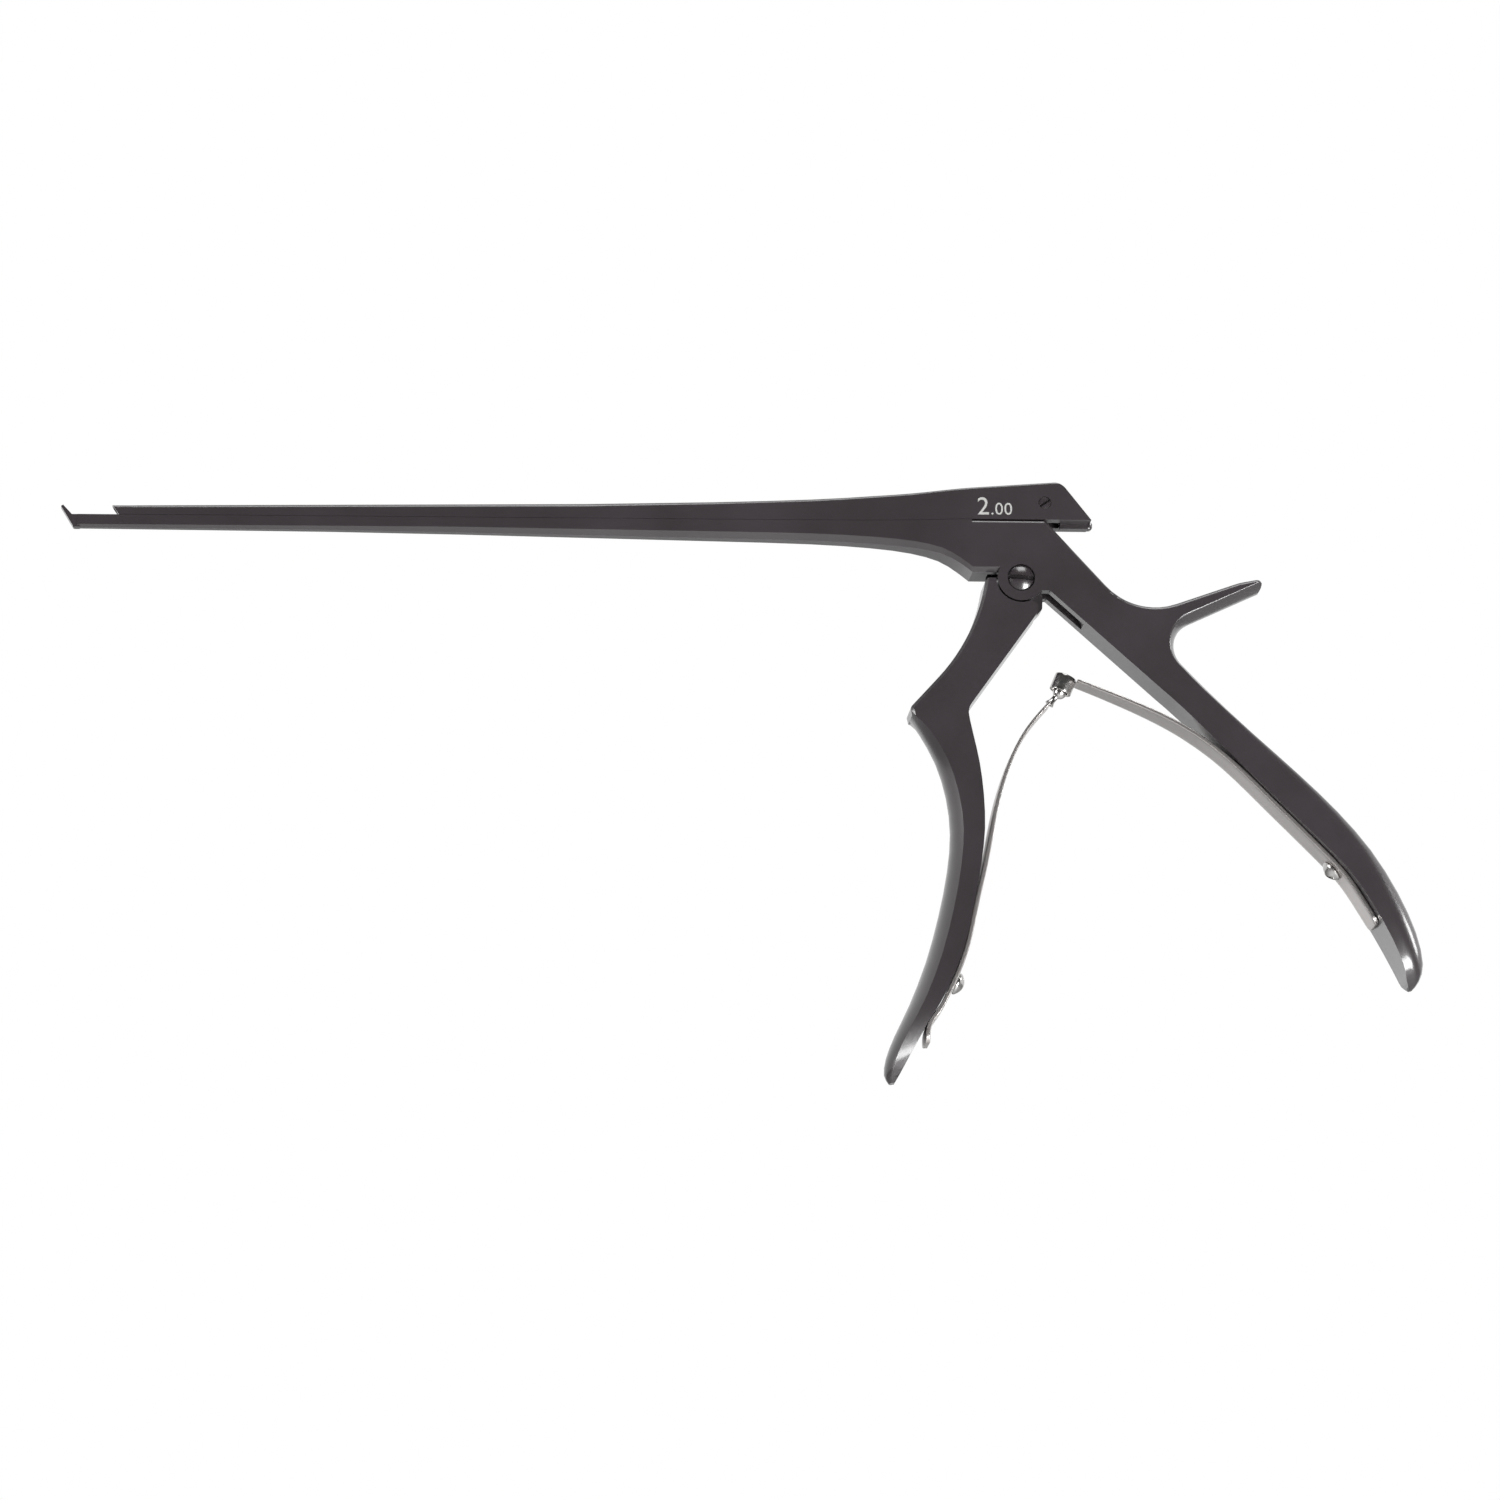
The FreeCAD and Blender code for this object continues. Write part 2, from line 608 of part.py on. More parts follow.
def front_handle():
    """The front handle: grip, arm with shoulders round the lobes, tongue and fork."""
    shoulder = lobe_radius + lobe_gap
    finger, inner = front_grip[0][:2], front_grip[0][2:4]
    upper = plate(rounded_outline([
        (horn_x, horn_z, horn_radius), (-3.0, horn_z, 0), (0.0, -2.0, 0), (shoulder_x - 1.0, -shoulder, 0),
        (shoulder_x, -shoulder, shoulder_radius), (arm_inner_x, arm_inner_z, 1.5),
        (crook_x, crook_z, crook_radius), (inner[0], inner[1], 0), (finger[0], finger[1], 0),
        (knee_x, knee_z, knee_radius), (arm_bend_x, arm_bend_z, arm_bend_radius),
    ]), body_width)

    def on_outer(edge, middle):
        flat = abs(abs(middle.y) - mid_y) < 1e-3
        arc = edge.Curve.TypeId == "Part::GeomCircle" and abs(edge.Curve.Radius - arm_bend_radius) < 0.1
        return flat and arc

    upper = upper.makeChamfer(arm_bevel, edges_near(upper, on_outer))
    upper = upper.cut(cross_cylinder(0, 0, shoulder, -body_width, body_width))
    grip = Part.makeLoft([finger_section(*row) for row in smooth_rows(front_grip, loft_steps)], True, True)
    tongue = cross_cylinder(0, 0, lobe_radius - 0.2, -tongue_width / 2, tongue_width / 2)
    root = plate(rounded_outline([
        (-4.0, 0.0, 0), (-5.2, -3.6, 0), (-3.5, -7.0, 0), (1.6, -8.6, 0), (root_x, -5.8, 1.2),
        (root_x + 0.1, -3.4, 0), (3.6, 0.0, 0),
    ]), tongue_width)
    solid = upper.fuse([grip, tongue, root, fork_arm()])
    bore = cross_cylinder(0, 0, pivot_shank_radius + hinge_clearance, -mid_y, mid_y)
    screw_bore = spring_bore(*front_screw_seat())
    return solid.cut([bore, screw_bore])


def pivot_screw():
    """The pivot screw: slotted head flush with the near cheek, thread in the far cheek."""
    head_top = -mid_y + head_recess
    head = cross_cylinder(0, 0, pivot_head_radius, head_top, head_top + pivot_head_height)
    shank = cross_cylinder(0, 0, pivot_shank_radius, head_top, mid_y - pivot_end_length)
    end = cross_cylinder(0, 0, pivot_end_radius, mid_y - pivot_end_length, mid_y - head_recess)
    slot = Part.makeBox(
        3 * pivot_head_radius, slot_depth, slot_width,
        at(-1.5 * pivot_head_radius, -slot_width / 2, head_top))
    slot.rotate(Vector(0, 0, 0), Vector(0, 1, 0), -4)
    return head.fuse([shank, end]).cut(slot)


def link_screw():
    """The screw that the fork drives, across the sliding shaft."""
    head_top = -mid_y + head_recess
    head = cross_cylinder(link_x, link_z, link_head_radius, head_top, head_top + link_head_height)
    shank = cross_cylinder(link_x, link_z, link_shank_radius, head_top, mid_y - head_recess)
    slot = Part.makeBox(
        4 * link_head_radius, slot_depth, slot_width / 2,
        at(link_x - 2 * link_head_radius, link_z - slot_width / 4, head_top))
    slot.rotate(at(link_x, link_z), Vector(0, 1, 0), 35)
    return head.fuse(shank).cut(slot)


def inner_line(rows):
    """The inner side of a grip in the side view, as a curve whose parameter is the row's number."""
    dense = smooth_rows(rows, loft_steps)
    places = [index / loft_steps for index in range(len(dense))]
    curve = Part.BSplineCurve()
    curve.interpolate([at(*row[2:4]) for row in dense], Parameters=places)
    return curve


def inner_side(rows, place, side):
    """A point on a grip's inner side, and the direction that leaves the grip there."""
    curve = inner_line(rows)
    tangent = curve.tangent(place)[0]
    return curve.value(place), Vector(-tangent.z, 0, tangent.x) * side


def front_screw_seat():
    """Where the front spring's screw enters the front grip, and its direction outwards."""
    return inner_side(front_grip, front_screw_row, 1)


def rear_screw_seat():
    """Where the rear spring's screw enters the rear grip, and its direction outwards."""
    return inner_side(rear_rows(), rear_screw_row, -1)


def spring_bore(seat, axis):
    """The threaded hole for a spring screw."""
    start = seat + axis * 4
    return Part.makeCylinder(
        spring_shank_radius + thread_clearance, 4 + spring_shank_length + 0.2, start, axis * -1)


def spring_screw(seat, axis):
    """A domed slotted screw that clamps a leaf spring to its handle."""
    stack = leaf_gap + leaf_thickness + leaf_seat_clearance
    rise = spring_head_height
    rim = rise / 4
    dome_radius = (spring_head_radius ** 2 + (rise - rim) ** 2) / (2 * (rise - rim))
    lean = math.asin(spring_head_radius / dome_radius) / 2
    top = stack + rise
    dome_middle = (dome_radius * math.sin(lean), top - dome_radius * (1 - math.cos(lean)))
    body = turned([
        ((0, -spring_shank_length), None), ((spring_shank_radius, -spring_shank_length), None),
        ((spring_shank_radius, stack), None), ((spring_head_radius, stack), None),
        ((spring_head_radius, stack + rim), None), ((0, top), dome_middle),
    ], seat, axis)
    slot = Part.makeBox(
        4 * spring_head_radius, slot_width, slot_depth, Vector(-2 * spring_head_radius, -slot_width / 2, 0))
    slot.Placement = FreeCAD.Placement(
        seat + axis * (top - slot_depth), FreeCAD.Rotation(Vector(0, 0, 1), axis)
    ).multiply(slot.Placement)
    return body.cut(slot)


def leaf_line(rows, side, held_rows, tail, free):
    """Middle line of a leaf spring: its tail, its stretch along the grip, then its free span."""
    first, last = held_rows
    held = []
    for step in range(2 * (last - first) + 1):
        point, away = inner_side(rows, last - step / 2, side)
        held.append(point + away * (leaf_gap + leaf_thickness / 2))
    return [at(*tail)] + held + [at(*point) for point in free]


def leaf_blade(line, seat, axis, wide_until, narrow_at, vertical):
    """A leaf spring: a tapering strip bent along its middle line, with a hole for its screw.

    It is wide up to one place and narrow from another, both along Z where vertical and else along X.
    """
    curve = Part.BSplineCurve()
    curve.interpolate(line)
    over, under = [], []
    for step in range(leaf_samples + 1):
        share = step / leaf_samples
        spot = curve.parameterAtDistance(curve.length() * share, curve.FirstParameter)
        point, tangent = curve.value(spot), curve.tangent(spot)[0]
        normal = Vector(-tangent.z, 0, tangent.x)
        half = (leaf_thickness + (leaf_tip_thickness - leaf_thickness) * max(0.0, 2 * share - 1)) / 2
        over.append(point + normal * half)
        under.append(point - normal * half)
    upper, lower = Part.BSplineCurve(), Part.BSplineCurve()
    upper.interpolate(over)
    lower.interpolate(under)
    outline = Part.Wire([
        upper.toShape(), Part.LineSegment(over[-1], under[-1]).toShape(),
        lower.toShape(), Part.LineSegment(under[0], over[0]).toShape(),
    ])
    strip = plate(outline, leaf_width)

    def at_tail(edge, middle):
        return middle.distanceToPoint(line[0]) < 1.1 * leaf_width / 2 and edge.Length < 1.1 * leaf_thickness

    strip = strip.makeFillet(leaf_tail_radius, edges_near(strip, at_tail))
    wide, narrow = leaf_width / 2, leaf_tip_width / 2
    far = math.copysign(beyond_all, narrow_at - wide_until)
    profile = [
        (wide_until - far, wide), (wide_until, wide), (narrow_at, narrow), (narrow_at + far, narrow),
        (narrow_at + far, -narrow), (narrow_at, -narrow), (wide_until, -wide), (wide_until - far, -wide),
    ]
    if vertical:
        plan = Part.Face(polygon([Vector(-beyond_all, y, z) for z, y in profile]))
        plan = plan.extrude(Vector(2 * beyond_all, 0, 0))
    else:
        plan = Part.Face(polygon([Vector(x, y, -beyond_all) for x, y in profile]))
        plan = plan.extrude(Vector(0, 0, 2 * beyond_all))
    hole_radius = spring_shank_radius + leaf_hole_clearance
    hole = Part.makeCylinder(hole_radius, 2 * leaf_width, seat - axis * leaf_width, axis)
    return strip.common(plan).cut(hole)


def cup_axis():
    """The cup's axis, out of its mouth."""
    return heading(cup_angle)


def socket_cup():
    """The cup at the rear spring's tip, with a round socket for the ball."""
    socket = ball_radius + ball_clearance
    middle = (socket * math.sqrt(0.5), -socket * math.sqrt(0.5))
    return turned([
        ((0, -cup_height), None), ((cup_radius, -cup_height), None), ((cup_radius, 0), None),
        ((socket, 0), None), ((0, -socket), middle),
    ], at(ball_x, ball_z), cup_axis())


def stud_axis():
    """The ball stud's axis, from the ball towards the front spring."""
    return heading(stud_angle)


def ball_stud():
    """The ball at the front spring's tip, on a short neck."""
    lean = math.asin(ball_neck_radius / ball_radius)
    neck_start = (ball_neck_radius, ball_radius * math.cos(lean))
    around = (math.pi + lean) / 2
    middle = (ball_radius * math.sin(around), ball_radius * math.cos(around))
    return turned([
        ((0, -ball_radius), None), (neck_start, middle), ((1.5 * ball_neck_radius, stud_length), None),
        ((0, stud_length), None),
    ], at(ball_x, ball_z), stud_axis())


def front_leaf_spring():
    """The front spring, from its tail on the grip to the ball stud."""
    tip = at(ball_x, ball_z) + stud_axis() * (stud_length + 0.05)
    line = leaf_line(front_grip, 1, front_leaf_rows, front_leaf_tail, front_leaf_free) + [tip]
    return leaf_blade(line, *front_screw_seat(), front_leaf_wide_until_z, front_leaf_narrow_at_z, True)


def rear_leaf_spring():
    """The rear spring, from its tail on the grip to the cup."""
    rim = at(ball_x, ball_z)
    side = Vector(-cup_axis().z, 0, cup_axis().x)
    start = rim - cup_axis() * (cup_height - 0.5) + side * (cup_radius + 0.03)
    line = leaf_line(rear_rows(), -1, rear_leaf_rows, rear_leaf_tail, rear_leaf_free) + [start]
    return leaf_blade(line, *rear_screw_seat(), rear_leaf_wide_until_x, rear_leaf_narrow_at_x, False)


def saddle_origin():
    """The lowest point of the palm saddle, where the part's origin goes."""
    vertex = at(saddle_vertex_x, saddle_vertex_z)
    before = (at(body_top_back_x, shaft_top_z) - vertex).normalize()
    after = (at(spur_bend_x, spur_bend_z) - vertex).normalize()
    half = before.getAngle(after) / 2
    centre = vertex + (before + after).normalize() * (saddle_radius / math.sin(half))
    return centre - Vector(0, 0, saddle_radius)


def main():
    """Makes every piece and writes one STEP file for each."""
    os.makedirs("parts", exist_ok=True)
    pieces = {
        "fixed_shaft_frame": fixed_shaft_frame(),
        "sliding_shaft": sliding_shaft(),
        "front_handle": front_handle(),
        "pivot_screw": pivot_screw(),
        "link_screw": link_screw(),
        "front_leaf_spring": front_leaf_spring(),
        "front_spring_screw": spring_screw(*front_screw_seat()),
        "spring_ball_stud": ball_stud(),
        "rear_leaf_spring": rear_leaf_spring(),
        "rear_spring_screw": spring_screw(*rear_screw_seat()),
        "spring_socket_cup": socket_cup(),
    }
    for name, shape in pieces.items():
        shape = shape.removeSplitter()
        shape.translate(saddle_origin() * -1)
        print(name, shape.ShapeType, len(shape.Solids), shape.isValid(), round(shape.Volume, 2))
        shape.exportStep(f"parts/{name}.step")


main()
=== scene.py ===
"""Bone rongeur: its finishes, springs and screws, and the camera and light of its picture."""

import logging
import math
from dataclasses import dataclass
from enum import Enum

import bmesh
import bpy
import numpy as np
from mathutils import Matrix, Vector


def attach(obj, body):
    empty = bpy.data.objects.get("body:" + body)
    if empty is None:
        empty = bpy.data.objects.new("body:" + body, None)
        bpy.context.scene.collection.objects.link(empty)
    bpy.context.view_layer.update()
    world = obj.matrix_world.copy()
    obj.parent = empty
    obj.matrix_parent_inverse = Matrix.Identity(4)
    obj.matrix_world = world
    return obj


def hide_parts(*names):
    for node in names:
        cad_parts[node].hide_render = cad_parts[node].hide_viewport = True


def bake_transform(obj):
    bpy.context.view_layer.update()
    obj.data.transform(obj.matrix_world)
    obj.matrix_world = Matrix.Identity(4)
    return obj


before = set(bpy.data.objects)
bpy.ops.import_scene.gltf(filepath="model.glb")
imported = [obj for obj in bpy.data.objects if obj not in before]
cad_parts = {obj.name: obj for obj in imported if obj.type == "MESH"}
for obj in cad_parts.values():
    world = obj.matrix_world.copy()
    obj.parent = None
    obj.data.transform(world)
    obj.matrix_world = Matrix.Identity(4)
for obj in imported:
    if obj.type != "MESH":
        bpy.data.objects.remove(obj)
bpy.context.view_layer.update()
log = logging.getLogger("rongeur")

MM = 0.001
PIVOT = (-26.2297, 5.5962)
LINK = (-21.3297, 20.6962)
BALL = (-18.5297, -16.3038)
NEAR_FACE = -4.7
SHARP_ANGLE = math.radians(30.0)
WHITE = (1.0, 1.0, 1.0, 1.0)
Pair = tuple[float, float]
Place = tuple[float, float, float]
Colour = tuple[float, float, float]


class Body(str, Enum):
    """The moving bodies of the instrument."""

    FRAME = "frame"
    FRONT_HANDLE = "front_handle"
    UPPER_SHAFT = "upper_shaft"
    BALL_TIP = "ball_tip"
    CUP_TIP = "cup_tip"


class Slot(str, Enum):
    """The finishes that the record names."""

    BLACK = "black_coated_steel"
    SPRING = "spring_steel"
    POLISHED = "polished_steel"
    SCREW = "black_screw"


@dataclass(frozen=True)
class NodeGraph:
    """A material's node tree with short ways to add and join nodes."""

    material: bpy.types.Material

    @classmethod
    def new(cls, name: str) -> "NodeGraph":
        """Makes an empty material with its shader and output.

        Args:
            name: The material's name.

        Returns:
            The graph of the new material.
        """
        material = bpy.data.materials.new(name)
        material.use_nodes = True
        return cls(material)

    @property
    def shader(self) -> bpy.types.Node:
        """The material's Principled shader."""
        return self.material.node_tree.nodes["Principled BSDF"]

    def add(self, kind: str, **values: object) -> bpy.types.Node:
        """Adds a node and sets its properties or its inputs.

        Args:
            kind: The node's type name.
            **values: Properties by name; a name that is no property is an input, with spaces as underscores.

        Returns:
            The new node.
        """
        node = self.material.node_tree.nodes.new(kind)
        for name, value in values.items():
            if hasattr(node, name):
                setattr(node, name, value)
            else:
                node.inputs[name.replace("_", " ")].default_value = value
        return node

    def join(self, source: bpy.types.NodeSocket, target: bpy.types.NodeSocket) -> None:
        """Links an output to an input."""
        self.material.node_tree.links.new(source, target)

    def object_place(self) -> bpy.types.NodeSocket:
        """The Object coordinates of the surface, in metres."""
        return self.add("ShaderNodeTexCoord").outputs["Object"]

    def noise(self, place: bpy.types.NodeSocket, scale: float, detail: float) -> bpy.types.NodeSocket:
        """A noise value on the given coordinates.

        Args:
            place: The coordinates.
            scale: The noise's scale on them.
            detail: Its number of octaves.

        Returns:
            The socket of the value, about 0 to 1.
        """
        node = self.add("ShaderNodeTexNoise", Scale=scale, Detail=detail)
        self.join(place, node.inputs["Vector"])
        return node.outputs["Fac"]

    def spread(self, value: bpy.types.NodeSocket, low: float, high: float,
               start: float = 0.3, end: float = 0.7) -> bpy.types.NodeSocket:
        """Maps a value from start..end to low..high.

        Args:
            value: The value to map.
            low: The result at start.
            high: The result at end.
            start: The value that gives low.
            end: The value that gives high.

        Returns:
            The socket of the result.
        """
        node = self.add("ShaderNodeMapRange", From_Min=start, From_Max=end, To_Min=low, To_Max=high)
        self.join(value, node.inputs["Value"])
        return node.outputs["Result"]

    def blend(self, share: bpy.types.NodeSocket, first: Colour, second: Colour) -> bpy.types.NodeSocket:
        """Mixes two colours.

        Args:
            share: How much of the second colour shows.
            first: The colour at share 0.
            second: The colour at share 1.

        Returns:
            The socket of the colour.
        """
        ramp = self.add("ShaderNodeValToRGB")
        ramp.color_ramp.elements[0].color = (*first, 1.0)
        ramp.color_ramp.elements[1].color = (*second, 1.0)
        self.join(share, ramp.inputs["Fac"])
        return ramp.outputs["Color"]

    def bump(self, height: bpy.types.NodeSocket, distance: float, strength: float) -> None:
        """Adds a fine relief to the shader's normal.

        Args:
            height: The relief's height, 0 to 1.
            distance: The height in metres that 1 stands for.
            strength: How strongly it shows.
        """
        node = self.add("ShaderNodeBump", Distance=distance, Strength=strength)
        self.join(height, node.inputs["Height"])
        self.join(node.outputs["Normal"], self.shader.inputs["Normal"])


@dataclass(frozen=True)
class BlackCoat:
    """Satin black coating on forged steel: cloudy where it is handled, with a fine blasted grain."""

    name: str = "black_coat"
    deep: Colour = (0.019, 0.0155, 0.0175)
    light: Colour = (0.027, 0.022, 0.025)
    roughness_low: float = 0.30
    roughness_high: float = 0.38
    specular: float = 0.6
    coat: float = 0.55
    coat_roughness: float = 0.14
    cloud_scale: float = 70.0
    cloud_detail: float = 5.0
    grain_scale: float = 4600.0
    grain_detail: float = 2.0
    grain_depth: float = 0.00002
    grain_strength: float = 0.3

    def build(self) -> bpy.types.Material:
        """Returns the finished material."""
        graph = NodeGraph.new(self.name)
        place = graph.object_place()
        cloud = graph.noise(place, self.cloud_scale, self.cloud_detail)
        grain = graph.noise(place, self.grain_scale, self.grain_detail)
        shader = graph.shader
        graph.join(graph.blend(graph.spread(cloud, 0.0, 1.0), self.deep, self.light),
                   shader.inputs["Base Color"])
        graph.join(graph.spread(grain, self.roughness_low, self.roughness_high), shader.inputs["Roughness"])
        shader.inputs["Specular IOR Level"].default_value = self.specular
        shader.inputs["Coat Weight"].default_value = self.coat
        shader.inputs["Coat Roughness"].default_value = self.coat_roughness
        graph.bump(grain, self.grain_depth, self.grain_strength)
        return graph.material


@dataclass(frozen=True)
class BrushedSteel:
    """Ground steel with fine lines along the leaf."""

    name: str = "brushed_steel"
    dark: Colour = (0.43, 0.41, 0.40)
    light: Colour = (0.63, 0.60, 0.585)
    roughness_low: float = 0.28
    roughness_high: float = 0.42
    along_scale: float = 6.0
    across_scale: float = 320.0
    line_detail: float = 3.0
    line_depth: float = 0.00001
    line_strength: float = 0.4

    def build(self) -> bpy.types.Material:
        """Returns the finished material."""
        graph = NodeGraph.new(self.name)
        mapping = graph.add("ShaderNodeMapping")
        mapping.inputs["Scale"].default_value = (self.along_scale, self.across_scale, 1.0)
        graph.join(graph.add("ShaderNodeUVMap").outputs["UV"], mapping.inputs["Vector"])
        lines = graph.noise(mapping.outputs["Vector"], 1.0, self.line_detail)
        shader = graph.shader
        graph.join(graph.blend(graph.spread(lines, 0.0, 1.0), self.dark, self.light),
                   shader.inputs["Base Color"])
        graph.join(graph.spread(lines, self.roughness_low, self.roughness_high), shader.inputs["Roughness"])
        shader.inputs["Metallic"].default_value = 1.0
        graph.bump(lines, self.line_depth, self.line_strength)
        return graph.material


@dataclass(frozen=True)
class PolishedSteel:
    """Bright turned steel of the ball, the cup and the spring screws."""

    name: str = "polished_steel"
    dark: Colour = (0.42, 0.41, 0.40)
    light: Colour = (0.60, 0.59, 0.58)
    roughness_low: float = 0.14
    roughness_high: float = 0.26
    spot_scale: float = 900.0
    spot_detail: float = 4.0

    def build(self) -> bpy.types.Material:
        """Returns the finished material."""
        graph = NodeGraph.new(self.name)
        spots = graph.noise(graph.object_place(), self.spot_scale, self.spot_detail)
        shader = graph.shader
        graph.join(graph.blend(graph.spread(spots, 0.0, 1.0), self.dark, self.light),
                   shader.inputs["Base Color"])
        graph.join(graph.spread(spots, self.roughness_low, self.roughness_high), shader.inputs["Roughness"])
        shader.inputs["Metallic"].default_value = 1.0
        return graph.material


@dataclass(frozen=True)
class EtchedMark:
    """The pale matt grey of an etched size mark."""

    name: str = "etched_grey"
    dark: Colour = (0.26, 0.26, 0.25)
    light: Colour = (0.38, 0.38, 0.37)
    speckle_scale: float = 9000.0
    speckle_detail: float = 2.0
    roughness: float = 0.7

    def build(self) -> bpy.types.Material:
        """Returns the finished material."""
        graph = NodeGraph.new(self.name)
        speckle = graph.noise(graph.object_place(), self.speckle_scale, self.speckle_detail)
        graph.join(graph.blend(graph.spread(speckle, 0.0, 1.0), self.dark, self.light),
                   graph.shader.inputs["Base Color"])
        graph.shader.inputs["Roughness"].default_value = self.roughness
        return graph.material


def place_piece(mesh: bpy.types.Mesh, name: str, body: Body, slot: Slot, finish: bpy.types.Material,
                *nodes: str) -> None:
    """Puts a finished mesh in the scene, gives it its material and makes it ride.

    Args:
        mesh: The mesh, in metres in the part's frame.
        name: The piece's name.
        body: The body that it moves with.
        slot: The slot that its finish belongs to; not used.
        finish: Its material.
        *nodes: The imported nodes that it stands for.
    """
    piece = bpy.data.objects.new(name, mesh)
    bpy.context.scene.collection.objects.link(piece)
    mesh.materials.clear()
    mesh.materials.append(finish)
    if nodes:
        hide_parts(*nodes)
    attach(piece, body.value)
    log.info("%s: %d faces", name, len(mesh.polygons))


def grid_mesh(name: str, points: np.ndarray, closed_columns: bool, cap_ends: bool = False) -> bpy.types.Mesh:
    """A mesh from a grid of points, rows by columns.

    Args:
        name: The mesh's name.
        points: Places in millimetres, shaped rows, columns, 3.
        closed_columns: Whether the last column joins the first.
        cap_ends: Whether the first and last rows are closed by a face.

    Returns:
        The mesh, smooth, with UV along the rows and around the columns.
    """
    rows, columns = points.shape[:2]
    index = np.arange(rows * columns).reshape(rows, columns)
    step = columns if closed_columns else columns - 1
    here, after = index[:, :step], np.roll(index, -1, axis=1)[:, :step]
    faces = np.stack([here[:-1], after[:-1], after[1:], here[1:]], axis=-1).reshape(-1, 4).tolist()
    if cap_ends:
        faces += [index[0, ::-1].tolist(), index[-1].tolist()]
    mesh = bpy.data.meshes.new(name)
    mesh.from_pydata((points.reshape(-1, 3) * MM).tolist(), [], faces)
    mesh.validate()
    along = np.repeat(np.linspace(0.0, 1.0, rows), columns)
    around = np.tile(np.linspace(0.0, 1.0, columns), rows)
    corner = np.empty(len(mesh.loops), dtype=int)
    mesh.loops.foreach_get("vertex_index", corner)
    layer = mesh.uv_layers.new(name="UVMap")
    layer.data.foreach_set("uv", np.stack([along[corner], around[corner]], axis=-1).ravel())
    mesh.shade_smooth()
    mesh.set_sharp_from_angle(angle=SHARP_ANGLE)
    return mesh


@dataclass
class ForgedPieces:
    """The rigid pieces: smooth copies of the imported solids, with their edges slightly broken.

    The boxes of left_sharp, in millimetres from the pivot, hold edges that stay sharp: the corner where the
    flare of the sliding shaft meets its block.
    """

    finishes: dict[Slot, bpy.types.Material]
    merge_distance: float = 0.004 * MM
    flat_angle: float = math.radians(0.4)
    sharp_angle: float = math.radians(33.0)
    edge_break: float = 0.17 * MM
    room: float = 1.3
    left_sharp: tuple[tuple[Pair, Pair], ...] = (((-12.0, 15.5), (-9.3, 19.0)),)
    segments: int = 2
    flat_weight: int = 90

    def space_beside(self, edge: bmesh.types.BMEdge, sharp: set[bmesh.types.BMEdge]) -> float:
        """How far the plain edges at an edge's two ends reach from its line, at least.

        Each reach is the length of the cross product of the plain edge with the edge's direction.

        Args:
            edge: The sharp edge.
            sharp: All sharp edges.

        Returns:
            The least reach, or twice the edge's own length where that is less, in metres.
        """
        space = [edge.calc_length() * 2]
        for corner in edge.verts:
            along = (edge.other_vert(corner).co - corner.co).normalized()
            for other in corner.link_edges:
                if other not in sharp:
                    away = other.other_vert(corner).co - corner.co
                    space.append(away.cross(along).length)
        return min(space)

    def stays_sharp(self, edge: bmesh.types.BMEdge) -> bool:
        """Whether an edge's middle lies in a box of left_sharp."""
        middle = (edge.verts[0].co + edge.verts[1].co) / 2 / MM
        across, up = middle.x - PIVOT[0], middle.z - PIVOT[1]
        return any(low[0] < across < high[0] and low[1] < up < high[1] for low, high in self.left_sharp)

    def prepared(self, source: bpy.types.Mesh) -> bpy.types.Mesh:
        """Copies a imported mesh, joins its triangles and marks the edges that have room to be rounded.

        An edge is marked where its faces meet at more than the sharp angle, unless a plain edge at one of
        its ends reaches less far from its line than the rounding needs, so that the rounding never passes
        a short edge.

        Args:
            source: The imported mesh.

        Returns:
            The prepared copy.
        """
        work = bmesh.new()
        work.from_mesh(source)
        bmesh.ops.remove_doubles(work, verts=work.verts, dist=self.merge_distance)
        bmesh.ops.dissolve_limit(work, angle_limit=self.flat_angle, verts=work.verts, edges=work.edges)
        weight = work.edges.layers.float.new("bevel_weight_edge")
        sharp = {edge for edge in work.edges
                 if edge.is_manifold and edge.calc_face_angle(0.0) > self.sharp_angle}
        for edge in sharp:
            if self.space_beside(edge, sharp) > self.room * self.edge_break and not self.stays_sharp(edge):
                edge[weight] = 1.0
        mesh = bpy.data.meshes.new(f"{source.name}_prepared")
        work.to_mesh(mesh)
        work.free()
        mesh.shade_smooth()
        return mesh

    def smooth_copy(self, node: str, body: Body, slot: Slot) -> None:
        """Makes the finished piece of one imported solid.

        Args:
            node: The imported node's name.
            body: The body that it moves with.
            slot: Its finish.
        """
        worker = bpy.data.objects.new(f"{node}_worker", self.prepared(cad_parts[node].data))
        bpy.context.scene.collection.objects.link(worker)
        bevel = worker.modifiers.new("edges", "BEVEL")
        bevel.width = self.edge_break
        bevel.segments = self.segments
        bevel.limit_method = "WEIGHT"
        bevel.use_clamp_overlap = True
        level = worker.modifiers.new("normals", "WEIGHTED_NORMAL")
        level.keep_sharp = True
        level.weight = self.flat_weight
        graph = bpy.context.evaluated_depsgraph_get()
        mesh = bpy.data.meshes.new_from_object(worker.evaluated_get(graph))
        bpy.data.objects.remove(worker)
        place_piece(mesh, f"{node}_finished", body, slot, self.finishes[slot], node)

    def build(self) -> None:
        """Makes the three forged pieces."""
        self.smooth_copy("fixed_shaft_frame", Body.FRAME, Slot.BLACK)
        self.smooth_copy("sliding_shaft", Body.UPPER_SHAFT, Slot.BLACK)
        self.smooth_copy("front_handle", Body.FRONT_HANDLE, Slot.BLACK)


